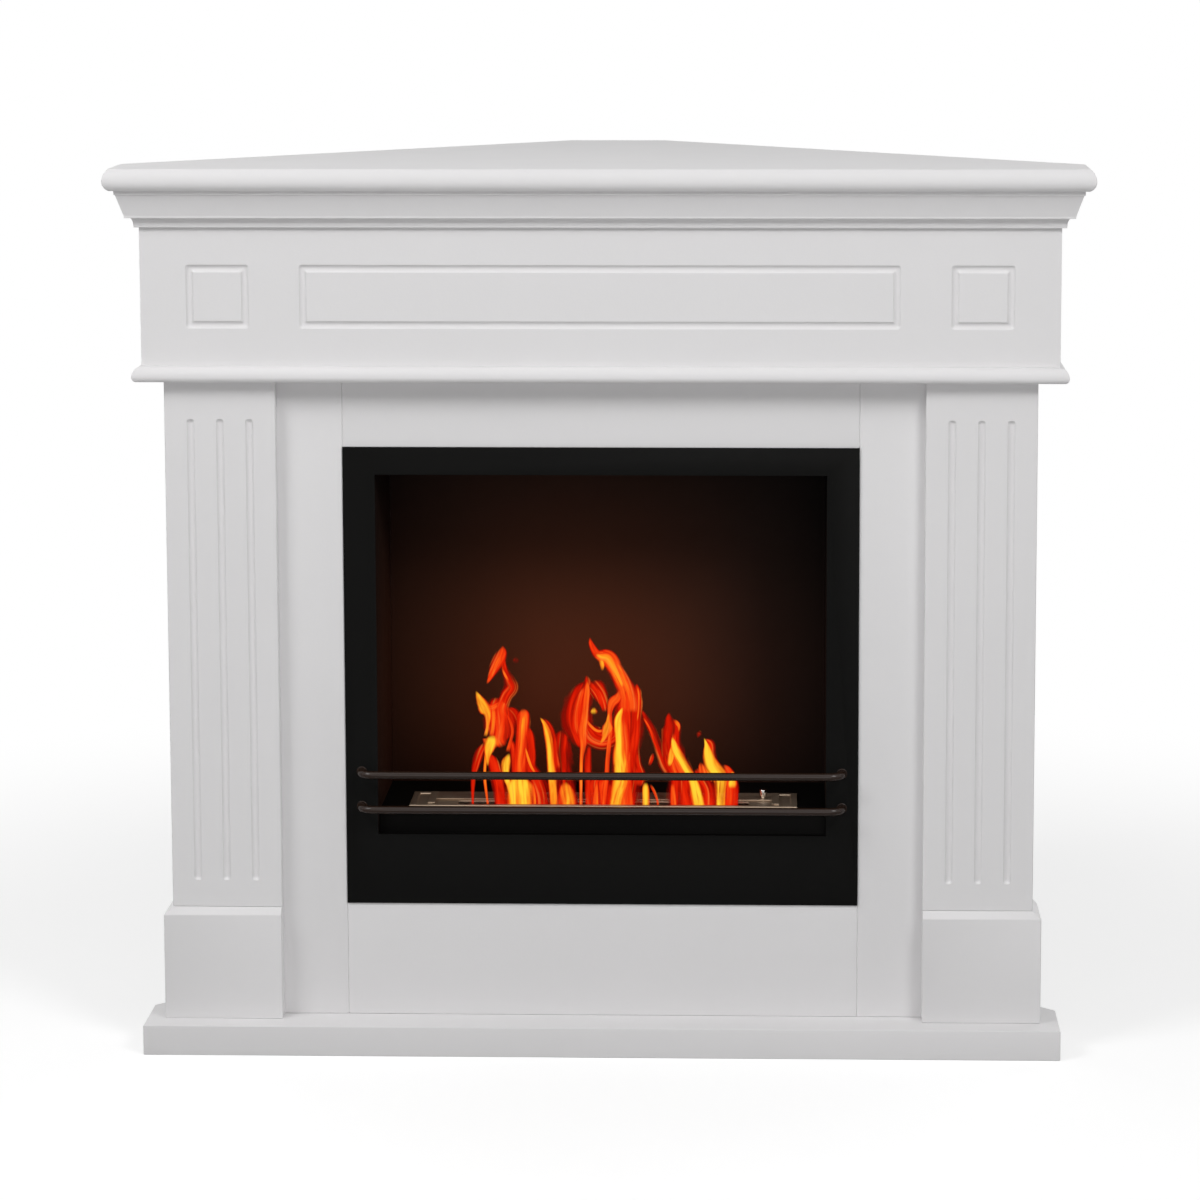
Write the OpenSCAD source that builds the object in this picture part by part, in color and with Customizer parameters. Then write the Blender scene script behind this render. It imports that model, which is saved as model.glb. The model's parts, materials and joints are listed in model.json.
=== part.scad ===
// Corner fireplace: a lacquered mantel that fills a room's corner,
// round a black steel firebox with guard rails and an ethanol burner.
// Millimetres. X is across the front, Y runs from the front to the corner, Z is up.
// The origin is under the middle of the whole piece, on the floor.

/* [Corner] */
// Depth from the shelf's nose to its flat back end
shelf_d = 605; // [570:1:650]
// Length of the shelf's short side ends, from the nose to the wall
shelf_return = 91; // [75:1:140]
// Gap square to each wall that the lower boards leave for the room's skirting
skirting_gap = 20; // [5:1:30]

/* [Heights] */
// Thickness of the base board
base_t = 36; // [28:1:50]
// Height of the panel under the insert
lower_panel_h = 137; // [110:1:180]
// Height of the panel over the insert
header_h = 80; // [60:1:120]
// Thickness of the ledge board under the frieze
ledge_t = 18; // [14:1:24]
// Height of the frieze that shows under the crown moulding
frieze_h = 163; // [130:1:200]
// Height of the crown moulding
crown_h = 44; // [40:1:60]
// Thickness of the mantel shelf
shelf_t = 26; // [24:1:36]

/* [Boards] */
// Thickness of the boards that face the room
board_t = 18; // [15:1:22]
// Thickness of the boards at the sides
side_t = 16; // [12:1:19]
// Width of each jamb, beside the insert
jamb_w = 208; // [180:1:240]
// How far the frieze stands in front of the jambs
frieze_proud = 21; // [18:1:30]
// How far the frieze stands out past the jambs' sides
frieze_side = 25; // [20:1:40]
// How far the base board stands in front of the jambs
base_proud = 58; // [45:1:58]
// How far the base board stands out past the jambs' sides
base_side = 32; // [20:1:45]

/* [Pilasters] */
// Width of each pilaster
pilaster_w = 131; // [110:1:150]
// Thickness of each pilaster
pilaster_t = 16; // [12:1:18]
// Number of flutes in a pilaster
flute_count = 3; // [1:1:5]
// Distance between the flutes
flute_pitch = 34.6; // [30:0.1:40]
// Width of a flute
flute_w = 9; // [6:0.1:12]
// Depth of a flute
flute_depth = 3.2; // [2:0.1:4]
// Distance from a pilaster's foot to the flutes
flute_foot = 37; // [20:1:60]
// Distance from the flutes to a pilaster's head
flute_head = 50; // [20:1:80]
// Height of the plinth blocks
plinth_h = 135; // [110:1:160]
// How far a plinth block stands in front of its pilaster
plinth_proud = 9; // [6:1:14]
// How far a plinth block stands out past the jamb's side
plinth_lap = 10; // [6:1:16]
// Height of the bevel round a plinth block's top
plinth_bevel = 8; // [4:1:14]

/* [Frieze] */
// Width of the long routed panel, on its groove's middle line
long_panel_w = 694; // [600:1:720]
// Width of the small routed panels, on their grooves' middle lines
small_panel_w = 65; // [50:1:85]
// Height of the routed panels, on their grooves' middle lines
panel_h = 66; // [60:1:90]
// Distance from the ledge board to the routed panels
panel_foot = 48.5; // [30:0.5:60]
// Width of the routed grooves
groove_w = 8.8; // [4:0.1:10]
// Depth of the routed grooves
groove_depth = 3; // [1.5:0.1:4]

/* [Mouldings] */
// How far the shelf's nose stands in front of the frieze
shelf_overhang = 37; // [32:1:50]
// How far the crown moulding's top stands in front of the frieze
crown_proud = 25; // [23:1:30]
// Thickness of the crown moulding's bottom edge
crown_foot = 5.5; // [4:0.5:8]
// Height of the upright lips under the crown moulding's cove and slope
crown_lip = 2.5; // [1.5:0.5:4]
// Height of the cove in the crown moulding
cove_h = 9; // [6:0.5:14]
// Depth of the cove in the crown moulding
cove_d = 3; // [2:0.5:6]
// How far the slope's lower edge stands in front of the frieze
slope_foot = 15; // [12:0.5:18]
// Height of the fillet over the crown moulding's slope
fillet_h = 5; // [3:0.5:7]
// How far the fillet stands in front of the slope
fillet_step = 1.5; // [1:0.5:3]
// Setback of the shelf's top and bottom edges behind its nose
nose_setback = 7; // [5:0.5:10]
// Height of the shelf's nose above the shelf's underside
nose_h = 11; // [8:0.5:14]
// How far the ledge board's nose stands in front of the frieze
ledge_proud = 16; // [12:1:22]
// Setback of the ledge board's top edge behind its nose
ledge_setback = 10; // [6:0.5:12]
// Setback of the ledge board's bottom edge behind its nose
ledge_foot_setback = 4; // [2:0.5:5]
// Height of the ledge board's nose above its underside
ledge_nose_h = 6; // [5:0.5:8]
// How far the ledge board stands out past the frieze's sides
ledge_side = 10; // [6:1:16]

/* [Inner boards] */
// Width of the posts that carry the ledge board and the shelf at the back
back_post_w = 100; // [60:1:110]
// Width of the cleats behind the joints of the front boards
cleat_w = 70; // [50:1:80]
// Depth of the board that carries the insert
support_d = 175; // [165:1:200]
// Width and depth of the posts under that board
support_post = 40; // [30:1:50]

/* [Insert] */
// Width of the insert's front frame
insert_w = 610; // [570:1:660]
// Height of the insert's front frame
insert_h = 551; // [500:1:600]
// Thickness of the front frame's sheet
frame_t = 2; // [1.5:0.1:3]
// Width of the front frame's sides
frame_side = 38; // [34:1:50]
// Height of the front frame's top border
frame_top = 33; // [25:1:50]
// Height of the front frame's bottom border
frame_bottom = 84.5; // [78:0.5:110]
// Overlap of the front frame on the panels above and below it
frame_lap = 10; // [6:1:15]
// Depth of the firebox behind the front frame
firebox_d = 180; // [150:1:220]
// Thickness of the firebox's sheets
sheet_t = 1.5; // [1:0.1:2]
// Height of the deck above the front frame's opening
deck_rise = 25.5; // [8:0.5:30]
// Distance from the front frame to the deck's front edge
deck_setback = 8; // [5:1:14]

/* [Guard rails] */
// Diameter of the rails
rail_d = 9.5; // [8.5:0.5:12]
// Distance from the front frame's opening to the upper rail
upper_rail_rise = 76.5; // [60:0.5:90]
// Distance from the front frame's opening to the lower rail
lower_rail_rise = 34.5; // [25:0.5:45]
// Distance from the middle of a rail to the front frame
rail_reach = 22; // [20:1:30]
// Bend radius of a rail, on its middle line
rail_bend = 14; // [10:1:18]
// Distance from the firebox's side to a rail's end
rail_spread = 19; // [17:1:24]
// Diameter of the studs at a rail's ends
stud_d = 8; // [6:0.5:8]
// Length of a stud behind the front frame
stud_len = 11; // [9:1:14]
// Diameter of the collars in front of the frame
collar_d = 12.5; // [12:0.5:18]
// Thickness of the collars
collar_t = 2.5; // [1.5:0.5:4]
// Width of the nuts across their flats
nut_w = 13; // [11:0.5:14]
// Thickness of the nuts
nut_t = 6.5; // [4:0.5:8]

/* [Burner] */
// Length of the burner's top plate
burner_w = 466; // [420:1:490]
// Distance from the deck's front edge to the burner
burner_setback = 20; // [10:1:30]
// Thickness of the burner's top plate
burner_t = 2; // [1.5:0.1:3]
// Width of the raised rim round the top plate
rim_w = 8; // [5:0.5:9]
// Height of the raised rim
rim_h = 1.6; // [1:0.1:3]
// Width of the flame slot
slot_d = 22; // [16:1:30]
// Distance from the rim to the flame slot
slot_margin = 2; // [1:0.5:5]
// Depth of the fuel tray
tray_h = 58; // [40:1:70]
// Thickness of the fuel tray's walls
tray_wall = 1.2; // [0.8:0.1:2]
// How far the top plate laps over the deck all round
burner_lap = 8; // [6:0.5:12]
// Free space between the tray and the deck's cut-out
tray_clear = 1; // [0.5:0.1:2]
// Free space above the wool in the tray
wool_drop = 6; // [4:1:15]
// Free space between the wool and the tray's walls
wool_clear = 0.4; // [0.3:0.1:2]
// How far the lid reaches past each end of the flame slot
lid_end_cover = 30; // [10:1:50]
// How far the lid reaches past the flame slot's long edges
lid_edge_cover = 5; // [3:0.5:10]
// Distance between the flame slot and the parked lid
lid_park = 3.7; // [1:0.1:10]
// Thickness of the sliding lid
lid_t = 1.5; // [1:0.1:2]
// Running clearance round the sliding lid
lid_clear = 0.3; // [0.3:0.1:0.6]
// Width of the lid's side guides
guide_w = 6; // [4:0.5:8]
// Free space between the guides and the rim's ends
guide_gap = 13.7; // [1:0.1:30]
// How far the guides reach over the lid
guide_lip = 3; // [2:0.5:4]
// Thickness of the guides' lips
guide_t = 1.2; // [1:0.1:2]
// Diameter of the lid's knob
knob_d = 9; // [7:0.5:11]
// Height of the lid's knob
knob_h = 11; // [8:0.5:16]
// Distance from the lid's right end to its knob
knob_inset = 13; // [10:1:40]

/* [Fixings] */
// Width of the clamp brackets beside the firebox
clamp_h = 40; // [30:1:60]
// Length of a clamp bracket's leg on the jamb
clamp_leg = 62; // [56:1:70]
// Length of a clamp bracket's leg on the firebox
clamp_foot = 30; // [20:1:40]
// Thickness of the brackets
bracket_t = 2; // [1.5:0.1:3]
// Size of the wall brackets' legs
wall_bracket = 32; // [28:1:45]
// Width of the wall brackets
wall_bracket_w = 30; // [24:1:45]
// Diameter of the wall brackets' screw holes
wall_hole_d = 5.5; // [4:0.1:7]
// Distance from a wall bracket's corner to its screw holes
wall_hole_rise = 19; // [14:1:22]
// Diameter of the wood screws' shanks
screw_d = 4; // [3:0.1:5]
// Length of the wood screws in the wood
screw_len = 12; // [8:1:13]
// Diameter of the wood screws' heads
screw_head_d = 8; // [7:0.5:10]
// Height of the wood screws' heads
screw_head_h = 2.4; // [2:0.1:4]
// Diameter of the long screws under the base board
base_screw_d = 5; // [4:0.1:6]
// Length of the long screws
base_screw_len = 60; // [50:1:80]
// Diameter of the long screws' heads
base_head_d = 9; // [8:0.5:11]
// Height of the long screws' heads
base_head_h = 4; // [3:0.5:5]
// Depth of the long screws' heads inside the base board
base_head_sink = 0.5; // [0.5:0.1:3]
// Distance from a jamb's edges to its long screws
base_screw_edge = 40; // [25:1:60]

/* [Hidden] */
$fn = 48;

lacquer = "whitesmoke";
raw_board = "tan";
black_steel = [0.09, 0.09, 0.09];
steel = "silver";

// Widths across the front, from the insert outwards
body_half = insert_w / 2 + jamb_w;
frieze_half = body_half + frieze_side;
shelf_half = frieze_half + shelf_overhang;
ledge_half = frieze_half + ledge_side;
base_half = body_half + base_side;
pilaster_in = body_half - pilaster_w;
box_half = insert_w / 2 - frame_side;
rail_end = box_half + rail_spread;

// Depths, from the shelf's nose back to the corner
nose_y = -shelf_d / 2;
back_y = shelf_d / 2;
frieze_y = nose_y + shelf_overhang;
ledge_y = frieze_y - ledge_proud;
jamb_y = frieze_y + frieze_proud;
jamb_back = jamb_y + board_t;
frame_y = jamb_y - frame_t;
base_y = jamb_y - base_proud;
pilaster_y = jamb_y - pilaster_t;
plinth_y = pilaster_y - plinth_proud;
box_back = jamb_y + firebox_d;
deck_y = jamb_y + deck_setback;
burner_y = deck_y + burner_setback;
rail_y = frame_y - rail_reach;
wall_sum = shelf_half + shelf_return;
skirting_shift = skirting_gap * sqrt(2);
post_back = back_y - skirting_shift;

// Heights, from the floor up
insert_z = base_t + lower_panel_h;
insert_top = insert_z + insert_h;
ledge_z = insert_top + header_h;
frieze_z = ledge_z + ledge_t;
crown_z = frieze_z + frieze_h;
shelf_z = crown_z + crown_h;
top_z = shelf_z + shelf_t;
plinth_top = base_t + plinth_h;
open_z = insert_z + frame_bottom;
open_top = insert_top - frame_top;
box_z = insert_z + frame_lap;
deck_z = open_z + deck_rise;
field_z = deck_z + burner_t;
lid_z = field_z + lid_clear;

// Burner outlines
lid_w = burner_w - 2 * (rim_w + guide_gap + guide_w + lid_clear);
lid_d = slot_d + 2 * lid_edge_cover;
slot_w = lid_w - 2 * lid_end_cover;
field_y = burner_y + rim_w;
slot_y = field_y + slot_margin;
lid_y = slot_y + slot_d + lid_park;
lid_rear_y = lid_y + lid_d;
burner_d = lid_rear_y + lid_clear + rim_w - burner_y;
tray_half = burner_w / 2 - burner_lap;
tray_y = burner_y + burner_lap;
tray_d = burner_d - 2 * burner_lap;

// Radius of the ball cutter that leaves a groove of width w and depth d
function cutter_r(w, d) = (w * w / 4 + d * d) / (2 * d);
// Radius of an arc that is upright at its nose and falls back by d over a height h
function nose_r(d, h) = (d * d + h * h) / (2 * d);
// Where the wall's plane, moved into the room by s, passes at a distance x from the middle
function wall_y(x, s) = nose_y + wall_sum - s - x;

module block(low, high) {
    translate(low) cube(high - low);
}

module both_sides() {
    children();
    mirror([1, 0, 0]) children();
}

// Outline of a board that fills the corner, with its two wall edges moved in by s
module corner_outline(half, front, s) {
    flat = wall_sum - shelf_d;
    polygon([[-half, front], [half, front], [half, wall_y(half, s)], [flat, back_y - s],
        [-flat, back_y - s], [-half, wall_y(half, s)]]);
}

module corner_board(half, front, s, low, high) {
    translate([0, 0, low]) linear_extrude(high - low) corner_outline(half, front, s);
}

// A board at the right side, from x0 out to x1, that runs back to the wall
module side_board(x0, x1, front, s, low, high) {
    translate([0, 0, low])
        linear_extrude(high - low)
            polygon([[x0, front], [x1, front], [x1, wall_y(x1, s)], [x0, wall_y(x0, s)]]);
}

// Carries an edge profile, drawn as [depth behind the edge, height], along the front
module along_front(front, half) {
    translate([-half, front, 0]) rotate([90, 0, 90]) linear_extrude(2 * half) children();
}

// Carries the same profile along the right side, back to the wall
module along_side(half, front) {
    translate([half, back_y, 0])
        rotate([90, 0, 0])
            linear_extrude(back_y - front) mirror([1, 0]) children();
}

// Rounds a corner board's front and side edges: the profile holds on all three at once
module edged_board(half, front, s, low, high) {
    intersection() {
        corner_board(half, front, s, low, high);
        along_front(front, half) children();
        along_side(half, front) children();
        mirror([1, 0, 0]) along_side(half, front) children();
    }
}

// Section of a board's nosed edge, with one arc above the nose and one below it
module nosed_section(low, thickness, nose, top_setback, foot_setback) {
    rise = thickness - nose;
    top = min(top_setback, rise);
    foot = min(foot_setback, nose);
    upper_r = nose_r(top, rise);
    lower_r = nose_r(foot, nose);
    run = 3 * shelf_half;
    translate([0, low]) {
        intersection() {
            translate([upper_r, nose]) circle(upper_r);
            translate([0, nose]) square([upper_r, rise]);
        }
        intersection() {
            translate([lower_r, nose]) circle(lower_r);
            square([lower_r, nose]);
        }
        translate([(top + upper_r) / 2, nose]) square([run, rise]);
        translate([(foot + lower_r) / 2, 0]) square([run, nose]);
    }
}

// Section of the crown moulding, as [distance in front of the frieze, height]
module crown_section() {
    cove_r = nose_r(cove_d, cove_h);
    cove_z = crown_z + crown_lip;
    slope_z = cove_z + cove_h;
    fillet_z = shelf_z - fillet_h;
    difference() {
        polygon([[0, crown_z], [slope_foot, crown_z], [slope_foot, slope_z + crown_lip],
            [crown_proud - fillet_step, fillet_z], [crown_proud, fillet_z],
            [crown_proud, shelf_z], [0, shelf_z]]);
        intersection() {
            translate([crown_foot, crown_z - 1]) square([slope_foot, slope_z - crown_z + 1]);
            union() {
                translate([crown_foot + cove_r, cove_z]) circle(cove_r, $fn = 64);
                translate([crown_foot, crown_z - 1]) square([slope_foot, crown_lip + 1]);
            }
        }
    }
}

// A straight groove with round ends in a face that looks towards -Y
module groove(start, finish, w, d) {
    r = cutter_r(w, d);
    run = finish - start;
    translate([start[0], 0, start[1]])
        rotate([0, run[0] > 0 ? 90 : 0, 0]) {
            cylinder(h = norm(run), r = r);
            sphere(r);
        }
    translate([finish[0], 0, finish[1]]) sphere(r);
}

// The groove round a routed panel, in a face at the depth y
module panel_groove(x0, x1, z0, z1, y) {
    translate([0, y + groove_depth - cutter_r(groove_w, groove_depth), 0]) {
        groove([x0, z0], [x1, z0], groove_w, groove_depth);
        groove([x0, z1], [x1, z1], groove_w, groove_depth);
        groove([x0, z0], [x0, z1], groove_w, groove_depth);
        groove([x1, z0], [x1, z1], groove_w, groove_depth);
    }
}

// ---------- mantel ----------

// Where the long screws rise through the base board, from the middle to the right
base_screw_spots = [
    [insert_w / 2 + base_screw_edge, jamb_y + board_t / 2],
    [body_half - base_screw_edge, jamb_y + board_t / 2],
    [0, post_back - board_t / 2]];

// Draws the long screws, or their holes when the head's end lies below the board
module long_screws(head_low) {
    shoulder = base_head_sink + base_head_h;
    both_sides()
        for (spot = base_screw_spots)
            translate([spot[0], spot[1], 0]) {
                translate([0, 0, head_low]) cylinder(h = shoulder - head_low, d = base_head_d);
                translate([0, 0, shoulder])
                    cylinder(h = base_screw_len - base_head_h, d = base_screw_d);
            }
}

module base_board() {
    color(lacquer)
        difference() {
            corner_board(base_half, base_y, skirting_shift, 0, base_t);
            long_screws(-1);
        }
}

// Heights and places of the clamp screws, which the jambs are drilled for
clamp_heights = [insert_z + insert_h * 0.2, insert_z + insert_h * 0.8];
clamp_screw_x = (insert_w / 2 + box_half + clamp_leg) / 2;

module jamb() {
    difference() {
        block([insert_w / 2, jamb_y, base_t], [body_half, jamb_back, ledge_z]);
        for (z = clamp_heights)
            translate([clamp_screw_x, jamb_back + 1, z])
                rotate([90, 0, 0]) cylinder(h = screw_len + 1, d = screw_d);
        long_screws(-1);
    }
}

module left_jamb() {
    color(lacquer) mirror([1, 0, 0]) jamb();
}

module right_jamb() {
    color(lacquer) jamb();
}

module header_panel() {
    color(lacquer)
        block([-insert_w / 2, jamb_y, insert_top - frame_lap],
            [insert_w / 2, jamb_back, ledge_z]);
}

module lower_panel() {
    color(lacquer)
        block([-insert_w / 2, jamb_y, base_t], [insert_w / 2, jamb_back, box_z]);
}

module pilaster() {
    middle = body_half - pilaster_w / 2;
    first = -(flute_count - 1) / 2 * flute_pitch;
    r = cutter_r(flute_w, flute_depth);
    difference() {
        block([pilaster_in, pilaster_y, plinth_top], [body_half, jamb_y, ledge_z]);
        for (i = [0 : flute_count - 1])
            translate([middle + first + i * flute_pitch, pilaster_y + flute_depth - r, 0])
                groove([0, plinth_top + flute_foot], [0, ledge_z - flute_head],
                    flute_w, flute_depth);
    }
}

module left_pilaster() {
    color(lacquer) mirror([1, 0, 0]) pilaster();
}

module right_pilaster() {
    color(lacquer) pilaster();
}

// Section of a plinth block's bevelled top, as [depth behind the edge, height]
module plinth_section(bevel_d, depth) {
    polygon([[0, base_t], [depth, base_t], [depth, plinth_top], [bevel_d, plinth_top],
        [0, plinth_top - plinth_bevel]]);
}

module plinth() {
    outer = body_half + plinth_lap;
    intersection() {
        block([pilaster_in, plinth_y, base_t], [outer, jamb_y, plinth_top]);
        along_front(plinth_y, outer) plinth_section(plinth_proud, jamb_y - plinth_y);
        along_side(outer, plinth_y) plinth_section(plinth_lap, outer);
    }
}

module left_plinth() {
    color(lacquer) mirror([1, 0, 0]) plinth();
}

module right_plinth() {
    color(lacquer) plinth();
}

// The bevelled board that carries the plinth block round the side
module plinth_return() {
    outer = body_half + plinth_lap;
    intersection() {
        side_board(body_half, outer, jamb_y, skirting_shift, base_t, plinth_top);
        along_side(outer, jamb_y) plinth_section(plinth_lap, outer);
    }
}

module left_plinth_return() {
    color(lacquer) mirror([1, 0, 0]) plinth_return();
}

module right_plinth_return() {
    color(lacquer) plinth_return();
}

module side_panel() {
    side_board(body_half - side_t, body_half, jamb_back, skirting_shift, base_t, ledge_z);
}

module left_side_panel() {
    color(lacquer) mirror([1, 0, 0]) side_panel();
}

module right_side_panel() {
    color(lacquer) side_panel();
}

module ledge_board() {
    color(lacquer)
        edged_board(ledge_half, ledge_y, 0, ledge_z, frieze_z)
            nosed_section(ledge_z, ledge_t, ledge_nose_h, ledge_setback, ledge_foot_setback);
}

module frieze_board() {
    panel_z = frieze_z + panel_foot;
    small_x = body_half - pilaster_w / 2;
    small_half = small_panel_w / 2;
    color(lacquer)
        difference() {
            block([-frieze_half, frieze_y, frieze_z], [frieze_half, frieze_y + board_t, shelf_z]);
            panel_groove(-long_panel_w / 2, long_panel_w / 2, panel_z, panel_z + panel_h, frieze_y);
            both_sides()
                panel_groove(small_x - small_half, small_x + small_half,
                    panel_z, panel_z + panel_h, frieze_y);
        }
}

module frieze_return() {
    side_board(frieze_half - board_t, frieze_half, frieze_y + board_t, 0, frieze_z, shelf_z);
}

module left_frieze_return() {
    color(lacquer) mirror([1, 0, 0]) frieze_return();
}

module right_frieze_return() {
    color(lacquer) frieze_return();
}

// Front length of the crown moulding, mitred at both ends
module crown_front() {
    outer = frieze_half + crown_proud;
    color(lacquer)
        intersection() {
            translate([-outer, frieze_y, 0])
                rotate([90, 0, 90]) linear_extrude(2 * outer) mirror([1, 0]) crown_section();
            translate([0, frieze_y, crown_z])
                linear_extrude(crown_h)
                    polygon([[-frieze_half, 0], [frieze_half, 0],
                        [outer, -crown_proud], [-outer, -crown_proud]]);
        }
}

module side_crown() {
    outer = frieze_half + crown_proud;
    intersection() {
        translate([frieze_half, back_y, 0])
            rotate([90, 0, 0]) linear_extrude(shelf_d) crown_section();
        translate([0, 0, crown_z])
            linear_extrude(crown_h)
                polygon([[frieze_half, frieze_y], [outer, frieze_y - crown_proud],
                    [outer, wall_y(outer, 0)], [frieze_half, wall_y(frieze_half, 0)]]);
    }
}

module left_crown() {
    color(lacquer) mirror([1, 0, 0]) side_crown();
}

module right_crown() {
    color(lacquer) side_crown();
}

module mantel_shelf() {
    color(lacquer)
        difference() {
            edged_board(shelf_half, nose_y, 0, shelf_z, top_z)
                nosed_section(shelf_z, shelf_t, nose_h, nose_setback, nose_setback);
            both_sides()
                at_wall() translate([0, -wall_hole_rise, -1]) cylinder(h = screw_len + 1, d = screw_d);
        }
}

module back_post(low, high) {
    color(raw_board)
        block([-back_post_w / 2, post_back - board_t, low], [back_post_w / 2, post_back, high]);
}

module lower_back_post() {
    difference() {
        back_post(base_t, ledge_z);
        long_screws(-1);
    }
}

module upper_back_post() {
    back_post(frieze_z, shelf_z);
}

// Cleats glued across the butt joints between the jambs and the two panels
module joint_cleats() {
    x0 = insert_w / 2 - cleat_w / 2;
    x1 = insert_w / 2 + cleat_w / 2;
    rear = jamb_back + side_t;
    color(raw_board)
        both_sides() {
            block([x0, jamb_back, base_t], [x1, rear, box_z - board_t]);
            block([x0, jamb_back, insert_top], [x1, rear, ledge_z]);
        }
}

module support_board() {
    half = insert_w / 2 + cleat_w / 2;
    color(raw_board)
        block([-half, jamb_back, box_z - board_t], [half, jamb_back + support_d, box_z]);
}

module support_posts() {
    outer = insert_w / 2 + cleat_w / 2;
    rear = jamb_back + support_d;
    color(raw_board)
        both_sides()
            block([outer - support_post, rear - support_post, base_t],
                [outer, rear, box_z - board_t]);
}

// ---------- wall fixings ----------

// Places its children half way along the right wall edge, X along the wall, Y into it
module at_wall() {
    x = (shelf_half + wall_sum - shelf_d) / 2;
    translate([x, wall_y(x, 0), shelf_z]) rotate([0, 0, -45]) children();
}

module wall_brackets() {
    half = wall_bracket_w / 2;
    color(steel)
        both_sides()
            at_wall()
                difference() {
                    union() {
                        block([-half, -bracket_t, -wall_bracket], [half, 0, 0]);
                        block([-half, -wall_bracket, -bracket_t], [half, 0, 0]);
                    }
                    translate([0, 1, -wall_hole_rise])
                        rotate([90, 0, 0]) cylinder(h = bracket_t + 2, d = wall_hole_d);
                    translate([0, -wall_hole_rise, -bracket_t - 1])
                        cylinder(h = bracket_t + 2, d = screw_d);
                }
}

// A wood screw that points up, with the underside of its head at z = 0
module wood_screw(grip) {
    cylinder(h = grip + screw_len, d = screw_d);
    translate([0, 0, -screw_head_h]) cylinder(h = screw_head_h, d = screw_head_d);
}

module wall_bracket_screws() {
    color(steel)
        both_sides()
            at_wall()
                translate([0, -wall_hole_rise, -bracket_t]) wood_screw(bracket_t);
}

module base_screws() {
    color(steel) long_screws(base_head_sink);
}

// ---------- insert ----------

module front_frame() {
    color(black_steel)
        difference() {
            block([-insert_w / 2, frame_y, insert_z], [insert_w / 2, jamb_y, insert_top]);
            block([-box_half, frame_y - 1, open_z], [box_half, jamb_y + 1, open_top]);
            both_sides()
                for (z = [open_z + upper_rail_rise, open_z + lower_rail_rise])
                    translate([rail_end, jamb_y + 1, z])
                        rotate([90, 0, 0]) cylinder(h = frame_t + 2, d = stud_d);
        }
}

module firebox_back() {
    color(black_steel)
        block([-box_half, box_back, box_z], [box_half, box_back + sheet_t, open_top + sheet_t]);
}

module firebox_side() {
    block([box_half, jamb_y, box_z],
        [box_half + sheet_t, box_back + sheet_t, open_top + sheet_t]);
}

module firebox_left() {
    color(black_steel) mirror([1, 0, 0]) firebox_side();
}

module firebox_right() {
    color(black_steel) firebox_side();
}

module firebox_top() {
    color(black_steel)
        block([-box_half, jamb_y, open_top], [box_half, box_back, open_top + sheet_t]);
}

module firebox_floor() {
    color(black_steel) block([-box_half, jamb_y, box_z], [box_half, box_back, box_z + sheet_t]);
}

// The deck round the burner, with the small step down to the front frame
module burner_deck() {
    hole_half = tray_half + tray_clear;
    hole_y0 = tray_y - tray_clear;
    hole_y1 = tray_y + tray_d + tray_clear;
    color(black_steel) {
        difference() {
            block([-box_half, deck_y, deck_z - sheet_t], [box_half, box_back, deck_z]);
            block([-hole_half, hole_y0, deck_z - sheet_t - 1], [hole_half, hole_y1, deck_z + 1]);
        }
        block([-box_half, deck_y, open_z - sheet_t], [box_half, deck_y + sheet_t, deck_z]);
        block([-box_half, jamb_y, open_z - sheet_t], [box_half, deck_y + sheet_t, open_z]);
    }
}

// Half of a guard rail: straight run, bend, and the stud through the front frame
module rail_half() {
    straight = rail_end - rail_bend;
    translate([0, rail_y, 0]) rotate([0, 90, 0]) cylinder(h = straight, d = rail_d);
    translate([straight, rail_y + rail_bend, 0])
        rotate([0, 0, -90])
            rotate_extrude(angle = 90) translate([rail_bend, 0]) circle(d = rail_d);
    translate([rail_end, rail_y + rail_bend, 0])
        rotate([-90, 0, 0]) cylinder(h = frame_y - rail_y - rail_bend, d = rail_d);
    translate([rail_end, frame_y, 0])
        rotate([-90, 0, 0]) cylinder(h = frame_t + stud_len, d = stud_d);
}

module upper_guard_rail() {
    color(black_steel) translate([0, 0, open_z + upper_rail_rise]) both_sides() rail_half();
}

module lower_guard_rail() {
    color(black_steel) translate([0, 0, open_z + lower_rail_rise]) both_sides() rail_half();
}

// Places its children at each of the four rail ends, Z pointing to the back
module at_rail_ends() {
    both_sides()
        for (z = [open_z + upper_rail_rise, open_z + lower_rail_rise])
            translate([rail_end, 0, z]) rotate([-90, 0, 0]) children();
}

module rail_collars() {
    color(black_steel)
        at_rail_ends()
            translate([0, 0, frame_y - collar_t])
                difference() {
                    cylinder(h = collar_t, d = collar_d);
                    translate([0, 0, -1]) cylinder(h = collar_t + 2, d = rail_d);
                }
}

module rail_nuts() {
    color(steel)
        at_rail_ends()
            translate([0, 0, jamb_y])
                difference() {
                    cylinder(h = nut_t, d = nut_w / cos(30), $fn = 6);
                    translate([0, 0, -1]) cylinder(h = nut_t + 2, d = stud_d);
                }
}

// Brackets that clamp the firebox's sides to the backs of the jambs
module clamp_brackets() {
    x0 = box_half + sheet_t;
    color(steel)
        both_sides()
            for (z = clamp_heights)
                translate([0, 0, z - clamp_h / 2])
                    difference() {
                        union() {
                            block([x0, jamb_back, 0], [x0 + bracket_t, jamb_back + clamp_foot, clamp_h]);
                            block([x0, jamb_back, 0],
                                [box_half + clamp_leg, jamb_back + bracket_t, clamp_h]);
                        }
                        translate([clamp_screw_x, jamb_back + bracket_t + 1, clamp_h / 2])
                            rotate([90, 0, 0]) cylinder(h = bracket_t + 2, d = screw_d);
                    }
}

module clamp_screws() {
    color(steel)
        both_sides()
            for (z = clamp_heights)
                translate([clamp_screw_x, jamb_back + bracket_t, z])
                    rotate([90, 0, 0]) wood_screw(bracket_t);
}

// ---------- burner ----------

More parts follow.
